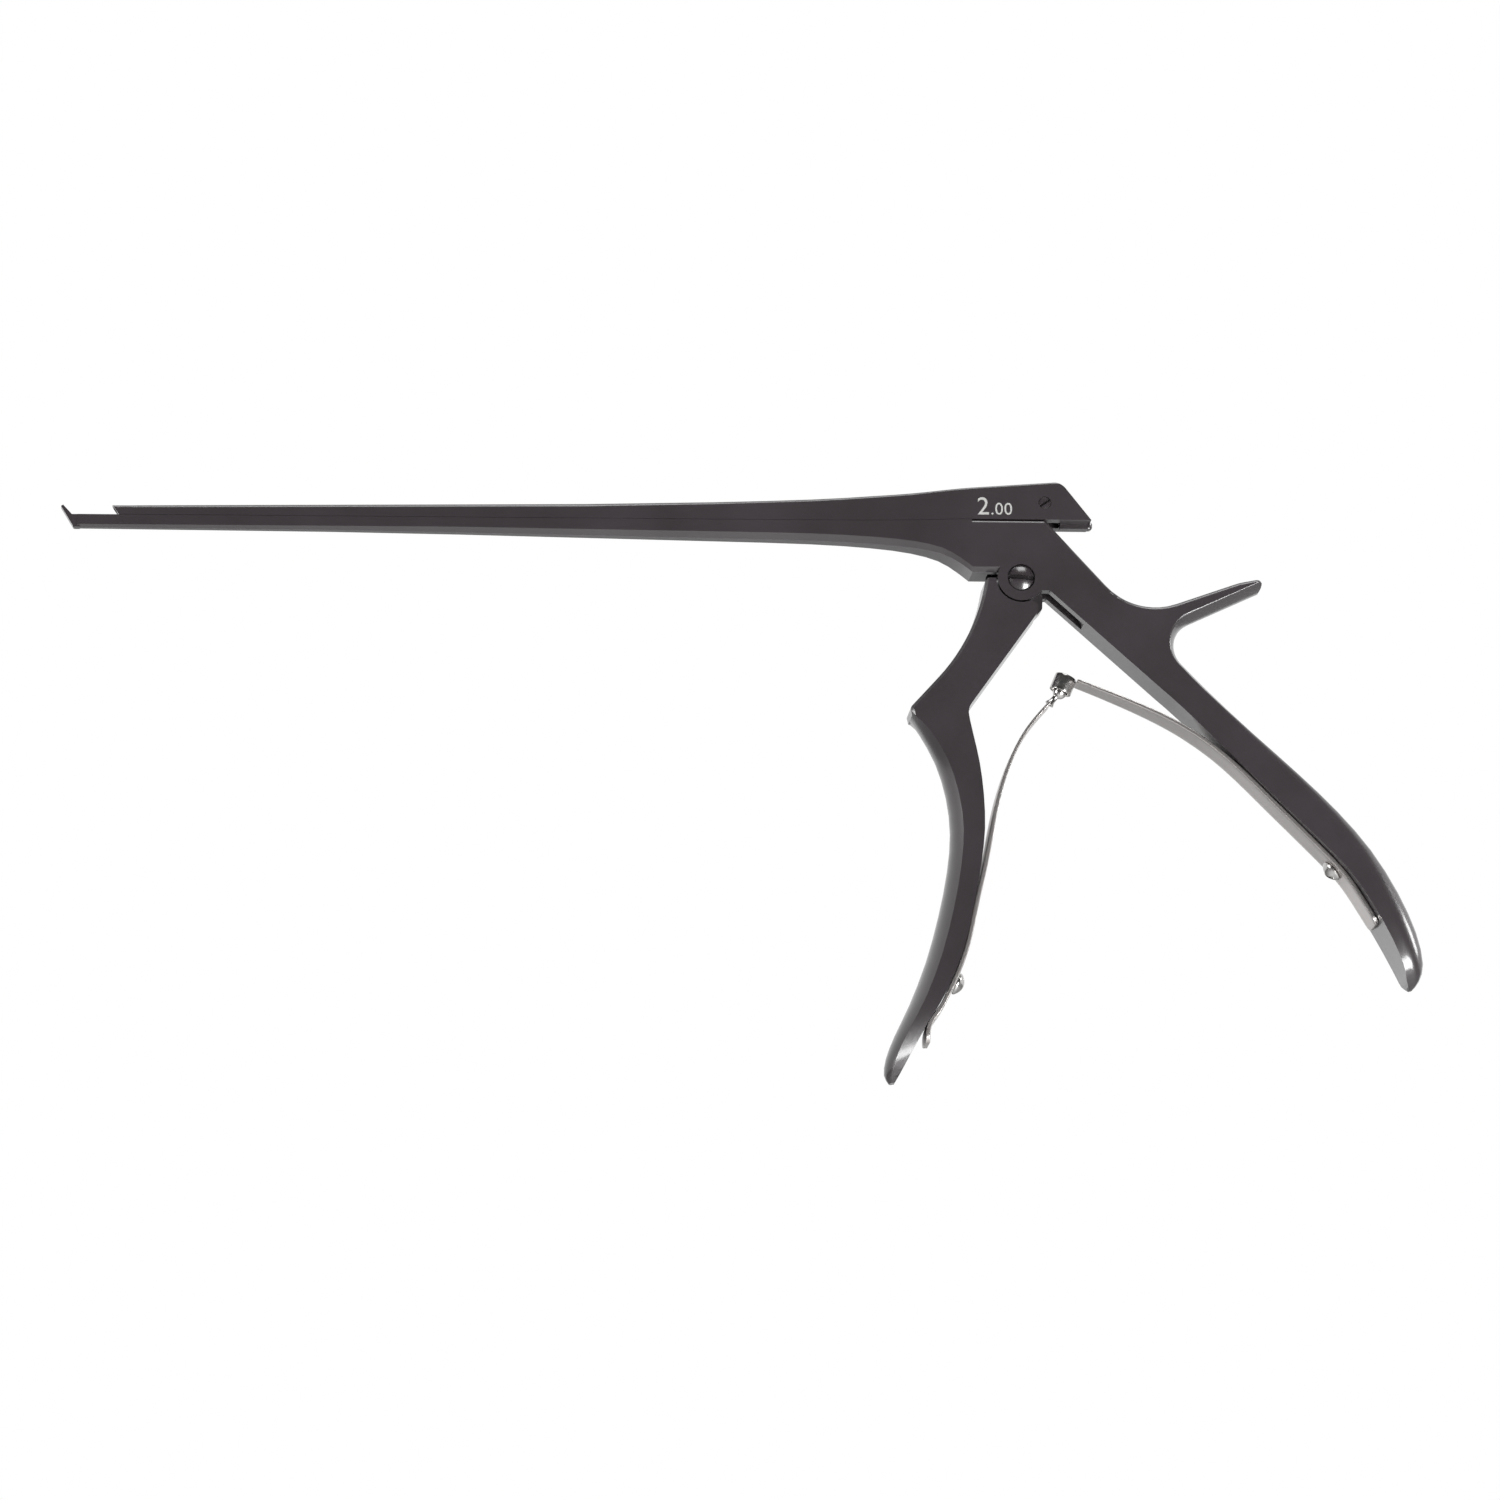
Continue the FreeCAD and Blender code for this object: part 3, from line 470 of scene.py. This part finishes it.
@dataclass(frozen=True)
class LeafSpring:
    """A leaf spring: a rounded strip swept along its middle line, narrower and thinner to its tip."""

    node: str
    line: tuple[Pair, ...]
    bodies: tuple[Body, Body]
    bend_start: Pair
    bend_end: Pair
    taper_axis: int
    wide_until: float
    narrow_at: float
    wide: float = 8.0
    narrow: float = 5.8
    thickness: float = 0.9
    tip_thickness: float = 0.55
    tail_radius: float = 1.6
    edge_radius: float = 0.2
    end_reach: float = 0.15
    end_thinning: float = 0.12
    rows: int = 260
    tail_rows: int = 16
    corner_steps: int = 4
    flat_steps: int = 8

    def middle_line(self) -> tuple[np.ndarray, np.ndarray]:
        """A natural cubic spline through the line's points, by chord length, sampled evenly.

        The rows are closer together at the tail, for its round corners.

        The second derivatives M solve h[i-1] M[i-1] + 2 (h[i-1] + h[i]) M[i] + h[i] M[i+1] = six times
        the change of slope at each inner point, with M zero at both ends.

        Returns:
            The sampled places and the distance of each from the tail, in millimetres.
        """
        knots = np.array(self.line)
        steps = np.linalg.norm(np.diff(knots, axis=0), axis=1)
        at = np.concatenate([[0.0], np.cumsum(steps)])
        count = len(knots)
        system = np.eye(count)
        right = np.zeros((count, 2))
        slope = np.diff(knots, axis=0) / steps[:, None]
        inner = np.arange(1, count - 1)
        system[inner, inner - 1] = steps[:-1]
        system[inner, inner] = 2 * (steps[:-1] + steps[1:])
        system[inner, inner + 1] = steps[1:]
        right[inner] = 6 * np.diff(slope, axis=0)
        bends = np.linalg.solve(system, right)
        tail = np.linspace(0.0, self.tail_radius, self.tail_rows) ** 2 / self.tail_radius
        tight = np.unique(np.concatenate([np.linspace(0.0, at[-1], self.rows), tail]))
        span = np.clip(np.searchsorted(at, tight, side="right") - 1, 0, count - 2)
        h = steps[span][:, None]
        a = (at[span + 1] - tight)[:, None]
        b = (tight - at[span])[:, None]
        places = (
            (bends[span] * a ** 3 + bends[span + 1] * b ** 3) / (6 * h)
            + (knots[span] / h - bends[span] * h / 6) * a
            + (knots[span + 1] / h - bends[span + 1] * h / 6) * b
        )
        length = np.concatenate([[0.0], np.cumsum(np.linalg.norm(np.diff(places, axis=0), axis=1))])
        return places, length

    def section(self, half_width: np.ndarray, half_depth: np.ndarray) -> np.ndarray:
        """Rounded rectangles, one a row: y across, then the distance from the middle line.

        Each corner is an arc about a centre one radius in from both sides, and the flats between the
        corners are divided evenly.

        Args:
            half_width: Half of each row's width.
            half_depth: Half of each row's thickness.

        Returns:
            The section points, shaped rows, columns, 2.
        """
        radius = np.minimum(np.minimum(self.edge_radius, 0.6 * half_depth), half_width * 0.9)
        turns = np.linspace(0.0, math.pi / 2, self.corner_steps)
        columns = []
        for quarter, (side, depth) in enumerate([(1, 1), (-1, 1), (-1, -1), (1, -1)]):
            angle = turns + quarter * math.pi / 2
            centre = np.stack([side * (half_width - radius), depth * (half_depth - radius)], axis=-1)
            round_part = np.stack([np.cos(angle), np.sin(angle)], axis=-1)
            columns.append(centre[:, None, :] + radius[:, None, None] * round_part[None])
        parts = []
        for part, following in zip(columns, columns[1:] + columns[:1]):
            share = np.linspace(0.0, 1.0, self.flat_steps + 1)[1:-1]
            flat = part[:, -1:, :] * (1 - share[None, :, None]) + following[:, :1, :] * share[None, :, None]
            parts += [part, flat]
        return np.concatenate(parts, axis=1)

    def surface(self) -> np.ndarray:
        """The strip's grid of points: each row's section set square to the middle line.

        The width runs from wide to narrow between two places, and near the tail it follows the round
        corners w/2 - r + sqrt(r^2 - (r - s)^2), where s is the distance from the tail. The thickness runs
        to the tip's over the second half, and both ends are rounded off over a short reach.

        Returns:
            The points in millimetres, shaped rows, columns, 3.
        """
        places, length = self.middle_line()
        ahead = np.gradient(places, length, axis=0)
        ahead /= np.linalg.norm(ahead, axis=1)[:, None]
        normal = np.stack([-ahead[:, 1], ahead[:, 0]], axis=-1)
        reach = places[:, self.taper_axis] - self.wide_until
        taper = np.clip(reach / (self.narrow_at - self.wide_until), 0, 1)
        half_width = (self.wide + (self.narrow - self.wide) * taper) / 2
        tail = np.clip(self.tail_radius - length, 0.0, self.tail_radius)
        half_width -= self.tail_radius - np.sqrt(self.tail_radius ** 2 - tail ** 2)
        share = np.clip(2 * length / length[-1] - 1, 0, 1)
        half_depth = (self.thickness + (self.tip_thickness - self.thickness) * share) / 2
        ends = np.minimum(length, length[-1] - length)
        half_depth = half_depth - self.end_thinning * np.clip(1 - ends / self.end_reach, 0, 1) ** 2
        section = self.section(half_width, half_depth)
        flat = places[:, None, :] + section[:, :, 1:] * normal[:, None, :]
        return np.stack([flat[..., 0], section[..., 0], flat[..., 1]], axis=-1)

    def build(self, finish: bpy.types.Material) -> None:
        """Makes the leaf as a fixed strip in its rest shape.

        Args:
            finish: The leaf's material.
        """
        mesh = grid_mesh(f"{self.node}_strip", self.surface(), True, True)
        mesh.materials.append(finish)
        piece = bpy.data.objects.new(f"{self.node}_strip", mesh)
        bpy.context.scene.collection.objects.link(piece)
        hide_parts(self.node)
        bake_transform(piece)
        log.info("%s: %d faces", piece.name, len(mesh.polygons))


@dataclass(frozen=True)
class SlottedScrew:
    """A screw head: a dome with a straight slot, a rounded rim and a short side, on an axis."""

    node: str
    body: Body
    slot: Slot
    seat: Place
    axis: Place
    radius: float
    side: float
    dome: float
    slot_width: float
    slot_depth: float
    slot_turn: float
    far_end: float = 0.0
    far_radius: float = 0.0
    rim_start: float = 0.93
    rim_drop: float = 0.06
    lip: float = 0.02
    wall: float = 0.01
    barrel_edge: float = 0.12
    far_length: float = 1.5
    columns: int = 72
    rows: int = 40

    def head_rows(self) -> np.ndarray:
        """Where the rows of the head lie across the slot, doubled at the slot's walls."""
        half = self.slot_width / 2
        lean = np.linspace(0.0, 1.0, self.rows)
        beyond = half + (self.radius - half) * np.sin(lean * math.pi / 2)
        upper = np.concatenate([beyond[::-1][:-1], [half + self.lip, half]])
        return np.concatenate([upper, [half - self.wall, 0.0, self.wall - half], -upper[::-1]])

    def head(self) -> np.ndarray:
        """The head's top: rows across the slot, each from rim to rim.

        The height over the seat is side + dome (1 - (r / R)^2) outside the slot, less a drop that grows
        with the square of the distance past the start of the rim. The slot's floor is flat, at the top
        less the slot's depth.

        Returns:
            The points along the slot, across it and up, in millimetres.
        """
        across = self.head_rows()
        reach = np.sqrt(np.clip(self.radius ** 2 - across ** 2, 0.0, None))
        share = np.sin(np.linspace(-1.0, 1.0, self.columns) * math.pi / 2)
        along = reach[:, None] * share[None, :]
        apart = np.hypot(along, across[:, None]) / self.radius
        height = self.side + self.dome * (1 - apart ** 2)
        rim = np.clip((apart - self.rim_start) / (1 - self.rim_start), 0.0, 1.0)
        height = height - self.rim_drop * self.radius * rim ** 2
        floor = self.side + self.dome - self.slot_depth
        in_slot = np.abs(across) < (self.slot_width - self.wall) / 2
        height = np.where(in_slot[:, None], np.minimum(height, floor), height)
        return np.stack([along, np.repeat(across[:, None], self.columns, axis=1), height], axis=-1)

    def barrel(self, radius: float, low: float, high: float) -> np.ndarray:
        """A plain round side, from low to high, with a broken edge and a flat disc at its low end.

        Args:
            radius: Its radius.
            low: Its start along the axis.
            high: Its end along the axis.

        Returns:
            The points, shaped rows, columns, 3.
        """
        turn = np.linspace(0.0, 2 * math.pi, self.columns, endpoint=False)
        edge = self.barrel_edge
        profile = np.array([(0.0, low), (radius - edge, low), (radius, low + edge), (radius, high)])
        ring = np.stack([np.cos(turn), np.sin(turn)], axis=-1)
        flat = profile[:, None, :1] * ring[None]
        rise = np.repeat(profile[:, None, 1:], self.columns, axis=1)
        return np.concatenate([flat, rise], axis=-1)

    def to_part(self, points: np.ndarray) -> np.ndarray:
        """Turns points from the screw's own axes, along the slot, across it and up, to the part's frame."""
        up = np.array(self.axis) / np.linalg.norm(self.axis)
        cross = np.array([0.0, 1.0, 0.0]) if abs(up[1]) < 0.9 else np.array([0.0, 0.0, 1.0])
        side = np.cross(cross, up)
        cosine, sine = math.cos(self.slot_turn), math.sin(self.slot_turn)
        along = cosine * side + sine * cross
        across = np.cross(up, along)
        return np.array(self.seat) + points @ np.stack([along, across, up])

    def build(self, finish: bpy.types.Material) -> None:
        """Makes the screw.

        Args:
            finish: The screw's material.
        """
        head = grid_mesh(f"{self.node}_head", self.to_part(self.head())[::-1], False)
        side = self.barrel(self.radius, 0.0, self.side - self.rim_drop * self.radius)
        parts = [head, grid_mesh(f"{self.node}_side", self.to_part(side), True)]
        if self.far_radius:
            far = self.barrel(self.far_radius, -self.far_end, -self.far_end + self.far_length)
            parts.append(grid_mesh(f"{self.node}_end", self.to_part(far), True))
        joined = join_meshes(f"{self.node}_domed", parts)
        place_piece(joined, f"{self.node}_domed", self.body, self.slot, finish, self.node)


def join_meshes(name: str, meshes: list[bpy.types.Mesh]) -> bpy.types.Mesh:
    """Joins meshes into one, smooth but for the edges past the sharp angle.

    Args:
        name: The new mesh's name.
        meshes: The meshes to join.

    Returns:
        The joined mesh.
    """
    vertices, faces, start = [], [], 0
    for mesh in meshes:
        places = np.empty(len(mesh.vertices) * 3)
        mesh.vertices.foreach_get("co", places)
        vertices += places.reshape(-1, 3).tolist()
        faces += [[corner + start for corner in polygon.vertices] for polygon in mesh.polygons]
        start += len(mesh.vertices)
    joined = bpy.data.meshes.new(name)
    joined.from_pydata(vertices, [], faces)
    joined.validate()
    joined.shade_smooth()
    joined.set_sharp_from_angle(angle=SHARP_ANGLE)
    return joined


@dataclass(frozen=True)
class TurnedPiece:
    """A turned piece: a profile of radius and height swept round an axis."""

    node: str
    body: Body
    foot: Pair
    axis: Pair
    profile: tuple[Pair, ...]
    columns: int = 96

    def build(self, finish: bpy.types.Material) -> None:
        """Makes the piece: each profile point becomes a ring about the axis.

        Args:
            finish: The piece's material.
        """
        profile = np.array(self.profile)
        up = np.array([self.axis[0], 0.0, self.axis[1]])
        side = np.cross(up, [0.0, 1.0, 0.0])
        turn = np.linspace(0.0, 2 * math.pi, self.columns, endpoint=False)
        ring = np.cos(turn)[:, None] * side + np.sin(turn)[:, None] * np.array([0.0, 1.0, 0.0])
        foot = np.array([self.foot[0], 0.0, self.foot[1]])
        points = foot + profile[:, None, :1] * ring[None] + profile[:, None, 1:] * up
        mesh = grid_mesh(f"{self.node}_turned", points, True)
        place_piece(mesh, f"{self.node}_turned", self.body, Slot.POLISHED, finish, self.node)


def place_along(root: Place, axis: Place, distance: float) -> Place:
    """The place that lies a distance from a root along an axis."""
    return tuple(start + distance * step for start, step in zip(root, axis))


def arc_points(centre: Pair, radius: float, start: float, end: float, steps: int) -> tuple[Pair, ...]:
    """Points on an arc in a profile.

    Args:
        centre: The arc's centre.
        radius: Its radius.
        start: Its first angle, in degrees.
        end: Its last angle, in degrees.
        steps: The number of points.

    Returns:
        The points.
    """
    turns = np.radians(np.linspace(start, end, steps))
    return tuple((centre[0] + radius * math.cos(turn), centre[1] + radius * math.sin(turn)) for turn in turns)


@dataclass(frozen=True)
class SizeMark:
    """The etched number on the sliding shaft: a large first figure, then small ones."""

    large: str = "2"
    small: str = ".00"
    left: float = -34.6
    base: float = 18.2
    large_height: float = 3.5
    small_height: float = 2.4
    gap: float = 0.5
    letter_space: float = 1.05
    stand: float = 0.012

    def figures(self, text: str, left: float, height: float) -> tuple[bpy.types.Mesh, float]:
        """One group of figures, made flat and stood on the near side of the shaft.

        Args:
            text: The figures.
            left: Where they start, in millimetres.
            height: Their height.

        Returns:
            The mesh and where the figures end.
        """
        curve = bpy.data.curves.new(f"mark_{text}", "FONT")
        curve.body = text
        curve.size = 1.0
        curve.space_character = self.letter_space
        holder = bpy.data.objects.new(f"mark_{text}", curve)
        bpy.context.scene.collection.objects.link(holder)
        graph = bpy.context.evaluated_depsgraph_get()
        mesh = bpy.data.meshes.new_from_object(holder.evaluated_get(graph))
        bpy.data.objects.remove(holder)
        places = np.empty(len(mesh.vertices) * 3)
        mesh.vertices.foreach_get("co", places)
        places = places.reshape(-1, 3)
        low, high = places.min(axis=0), places.max(axis=0)
        scale = height / (high[1] - low[1])
        flat = (places[:, :2] - low[:2]) * scale
        depth = np.full(len(flat), NEAR_FACE - self.stand)
        stood = np.stack([flat[:, 0] + left, depth, flat[:, 1] + self.base], axis=-1)
        mesh.vertices.foreach_set("co", (stood * MM).ravel())
        mesh.update()
        return mesh, left + (high[0] - low[0]) * scale

    def build(self, finish: bpy.types.Material) -> None:
        """Makes the mark.

        Args:
            finish: The mark's material.
        """
        first, end = self.figures(self.large, self.left, self.large_height)
        second, _ = self.figures(self.small, end + self.gap, self.small_height)
        mesh = join_meshes("size_mark", [first, second])
        place_piece(mesh, "size_mark", Body.UPPER_SHAFT, Slot.BLACK, finish)


@dataclass(frozen=True)
class Lamp:
    """A square soft light: where it hangs and where it faces, in metres, its side and its power."""

    name: str
    place: Place
    size: float
    power: float
    aim: Place = (-0.06, 0.0, -0.03)

    def build(self) -> None:
        """Hangs the light."""
        data = bpy.data.lights.new(self.name, "AREA")
        data.shape = "SQUARE"
        data.size = self.size
        data.energy = self.power
        light = bpy.data.objects.new(self.name, data)
        light.location = self.place
        light.rotation_euler = (Vector(self.aim) - Vector(self.place)).to_track_quat("-Z", "Y").to_euler()
        bpy.context.scene.collection.objects.link(light)


@dataclass(frozen=True)
class Studio:
    """Plain pale floor, white surround, soft lights and the camera of the photograph."""

    aim: Place = (-0.079367, 0.0, -0.028434)
    azimuth: float = math.radians(4.5)
    rise: float = math.radians(13.0)
    distance: float = 1.49285
    roll: float = math.radians(-0.5174)
    lens: float = 184.2
    floor_drop: float = 1.0
    floor_glow: float = 0.72
    floor_size: float = 12.0
    floor_deep: Colour = (0.84, 0.84, 0.84)
    floor_light: Colour = (0.88, 0.88, 0.88)
    floor_roughness: float = 0.9
    paper_scale: float = 300.0
    paper_detail: float = 2.0
    ambient: float = 0.32
    dim_side: float = 0.07
    dim_until: float = -0.3
    bright_from: float = 0.12
    lamps: tuple[Lamp, ...] = (
        Lamp("low_light", (0.55, -0.95, -0.62), 0.5, 20.0, (0.02, 0.0, -0.03)),
        Lamp("right_light", (1.25, -0.1, 0.35), 0.4, 8.0, (0.04, 0.0, -0.05)),
        Lamp("left_light", (-1.25, -0.55, 0.1), 0.6, 12.0),
        Lamp("top_light", (0.1, -0.6, 1.3), 0.8, 12.0),
    )

    def camera(self) -> None:
        """Places the camera at the photograph's viewing angle."""
        ahead = Vector((
            math.sin(self.azimuth) * math.cos(self.rise),
            math.cos(self.azimuth) * math.cos(self.rise),
            math.sin(self.rise),
        ))
        data = bpy.data.cameras.new("photo_camera")
        data.lens = self.lens
        data.sensor_width = 36.0
        data.clip_start = 0.01
        data.clip_end = 100.0
        camera = bpy.data.objects.new("photo_camera", data)
        bpy.context.scene.collection.objects.link(camera)
        turn = ahead.to_track_quat("-Z", "Y").to_matrix().to_4x4()
        camera.matrix_world = (
            Matrix.Translation(Vector(self.aim) - ahead * self.distance) @ turn
            @ Matrix.Rotation(self.roll, 4, "Z")
        )
        bpy.context.scene.camera = camera

    def floor(self) -> None:
        """Lays the pale floor below the object, which glows to the camera's rays alone."""
        half = self.floor_size / 2
        mesh = bpy.data.meshes.new("floor")
        corners = [(-half, -half), (half, -half), (half, half), (-half, half)]
        mesh.from_pydata([(x, y, -self.floor_drop) for x, y in corners], [], [(0, 1, 2, 3)])
        floor = bpy.data.objects.new("floor", mesh)
        bpy.context.scene.collection.objects.link(floor)
        graph = NodeGraph.new("floor_paper")
        shader = graph.shader
        grain = graph.noise(graph.object_place(), self.paper_scale, self.paper_detail)
        graph.join(graph.blend(grain, self.floor_deep, self.floor_light), shader.inputs["Base Color"])
        shader.inputs["Roughness"].default_value = self.floor_roughness
        shader.inputs["Emission Color"].default_value = WHITE
        rays = graph.add("ShaderNodeLightPath")
        seen = graph.spread(rays.outputs["Is Camera Ray"], 0.0, self.floor_glow)
        graph.join(seen, shader.inputs["Emission Strength"])
        mesh.materials.append(graph.material)

    def surround(self) -> None:
        """A world that is white to the camera, white in reflections behind the object and dimmer in front."""
        world = bpy.data.worlds.new("surround")
        world.use_nodes = True
        tree = world.node_tree
        sky = tree.nodes["Background"]
        rays = tree.nodes.new("ShaderNodeLightPath")
        place = tree.nodes.new("ShaderNodeTexCoord")
        axes = tree.nodes.new("ShaderNodeSeparateXYZ")
        tree.links.new(place.outputs["Generated"], axes.inputs["Vector"])
        mirrored = tree.nodes.new("ShaderNodeMapRange")
        mirrored.interpolation_type = "SMOOTHSTEP"
        for name, value in (("From Min", self.dim_until), ("From Max", self.bright_from),
                            ("To Min", self.dim_side), ("To Max", 1.0)):
            mirrored.inputs[name].default_value = value
        tree.links.new(axes.outputs["Y"], mirrored.inputs["Value"])
        glossy = tree.nodes.new("ShaderNodeMath")
        glossy.operation = "MAXIMUM"
        tree.links.new(rays.outputs["Is Glossy Ray"], glossy.inputs[0])
        tree.links.new(rays.outputs["Is Transmission Ray"], glossy.inputs[1])
        lit = tree.nodes.new("ShaderNodeMapRange")
        lit.inputs["To Min"].default_value = self.ambient
        tree.links.new(glossy.outputs["Value"], lit.inputs["Value"])
        tree.links.new(mirrored.outputs["Result"], lit.inputs["To Max"])
        seen = tree.nodes.new("ShaderNodeMapRange")
        seen.inputs["To Max"].default_value = 1.0
        tree.links.new(rays.outputs["Is Camera Ray"], seen.inputs["Value"])
        tree.links.new(lit.outputs["Result"], seen.inputs["To Min"])
        tree.links.new(seen.outputs["Result"], sky.inputs["Strength"])
        sky.inputs["Color"].default_value = WHITE
        bpy.context.scene.world = world

    def build(self) -> None:
        """Sets up the whole studio."""
        self.camera()
        self.floor()
        self.surround()
        for lamp in self.lamps:
            lamp.build()
        bpy.context.scene.view_settings.view_transform = "Standard"


FRONT_LEAF = LeafSpring(
    node="front_leaf_spring",
    line=((-45.73, -86.804), (-45.376, -83.378), (-43.627, -80.59), (-41.76, -77.348), (-39.927, -73.439),
          (-38.276, -69.169), (-37.073, -64.742), (-36.111, -60.313), (-33.58, -49.404), (-31.83, -40.604),
          (-29.23, -32.004), (-25.23, -24.204), (-20.728, -18.832)),
    bodies=(Body.FRONT_HANDLE, Body.BALL_TIP), bend_start=(-36.1, -60.3), bend_end=(-21.0, -19.2),
    taper_axis=1, wide_until=-46.404, narrow_at=-24.404,
)
REAR_LEAF = LeafSpring(
    node="rear_leaf_spring",
    line=((42.37, -62.804), (40.512, -59.67), (38.454, -56.25), (36.153, -52.93), (33.416, -49.805),
          (30.291, -46.574), (26.831, -43.045), (22.993, -39.176), (12.37, -28.854), (5.17, -23.754),
          (-3.63, -19.304), (-15.344, -14.506)),
    bodies=(Body.FRAME, Body.CUP_TIP), bend_start=(23.0, -39.2), bend_end=(-15.0, -14.7),
    taper_axis=0, wide_until=7.770, narrow_at=-12.230,
)
SCREW_COAT = BlackCoat(name="black_screw", roughness_low=0.22, roughness_high=0.30, coat=0.6)
PIVOT_SEAT_DEPTH = 1.35
LINK_SEAT_DEPTH = 0.95
SPRING_SEAT_LIFT = 1.07
FRONT_SCREW_ROOT = (-40.7707, 0.0, -74.0441)
FRONT_SCREW_AXIS = (0.91405, 0.0, -0.40561)
REAR_SCREW_ROOT = (35.0708, 0.0, -50.8196)
REAR_SCREW_AXIS = (-0.74608, 0.0, -0.66586)
SCREWS = (
    SlottedScrew(
        "pivot_screw", Body.FRAME, Slot.SCREW, (PIVOT[0], NEAR_FACE + PIVOT_SEAT_DEPTH, PIVOT[1]),
        (0.0, -1.0, 0.0), radius=2.65, side=0.85, dome=0.85, slot_width=0.85, slot_depth=1.4,
        slot_turn=math.radians(-4.0), far_end=8.0, far_radius=1.9,
    ),
    SlottedScrew(
        "link_screw", Body.UPPER_SHAFT, Slot.SCREW, (LINK[0], NEAR_FACE + LINK_SEAT_DEPTH, LINK[1]),
        (0.0, -1.0, 0.0), radius=1.25, side=0.8, dome=0.15, slot_width=0.5, slot_depth=0.5,
        slot_turn=math.radians(35.0), far_end=8.4, far_radius=0.9,
    ),
    SlottedScrew(
        "front_spring_screw", Body.FRONT_HANDLE, Slot.POLISHED,
        place_along(FRONT_SCREW_ROOT, FRONT_SCREW_AXIS, SPRING_SEAT_LIFT), FRONT_SCREW_AXIS,
        radius=2.2, side=0.4, dome=1.2, slot_width=0.65, slot_depth=0.6, slot_turn=0.3,
    ),
    SlottedScrew(
        "rear_spring_screw", Body.FRAME, Slot.POLISHED,
        place_along(REAR_SCREW_ROOT, REAR_SCREW_AXIS, SPRING_SEAT_LIFT), REAR_SCREW_AXIS,
        radius=2.2, side=0.4, dome=1.2, slot_width=0.65, slot_depth=0.6, slot_turn=0.5,
    ),
)
BALL_RADIUS = 1.4
BALL_STUD = TurnedPiece(
    "spring_ball_stud", Body.BALL_TIP, BALL, (-0.65606, -0.75471),
    ((0.0, -BALL_RADIUS),) + arc_points((0.0, 0.0), BALL_RADIUS, -85.0, 64.0, 26)
    + ((0.56, 1.36), (0.56, 1.9), (0.62, 2.5), (0.9, 3.1), (0.9, 3.28), (0.0, 3.28)),
)
CUP_BORE = 1.7
CUP_FOOT = -3.4
SOCKET_CUP = TurnedPiece(
    "spring_socket_cup", Body.CUP_TIP, BALL, (-0.39073, -0.92050),
    ((0.0, CUP_FOOT), (1.9, CUP_FOOT)) + arc_points((1.9, -3.1), 0.3, -90.0, 0.0, 6)
    + arc_points((2.05, -0.15), 0.15, 0.0, 90.0, 5) + ((1.78, 0.0),)
    + arc_points((0.0, 0.0), CUP_BORE, -6.0, -90.0, 16),
)


def main() -> None:
    """Builds the studio and dresses every piece."""
    logging.basicConfig(level=logging.INFO, format="%(name)s: %(message)s")
    finishes = {
        Slot.BLACK: BlackCoat().build(),
        Slot.SCREW: SCREW_COAT.build(),
        Slot.SPRING: BrushedSteel().build(),
        Slot.POLISHED: PolishedSteel().build(),
    }
    Studio().build()
    ForgedPieces(finishes).build()
    for leaf in (FRONT_LEAF, REAR_LEAF):
        leaf.build(finishes[Slot.SPRING])
    for screw in SCREWS:
        screw.build(finishes[screw.slot])
    for turned in (BALL_STUD, SOCKET_CUP):
        turned.build(finishes[Slot.POLISHED])
    SizeMark().build(EtchedMark().build())


if __name__ == "__main__":
    main()
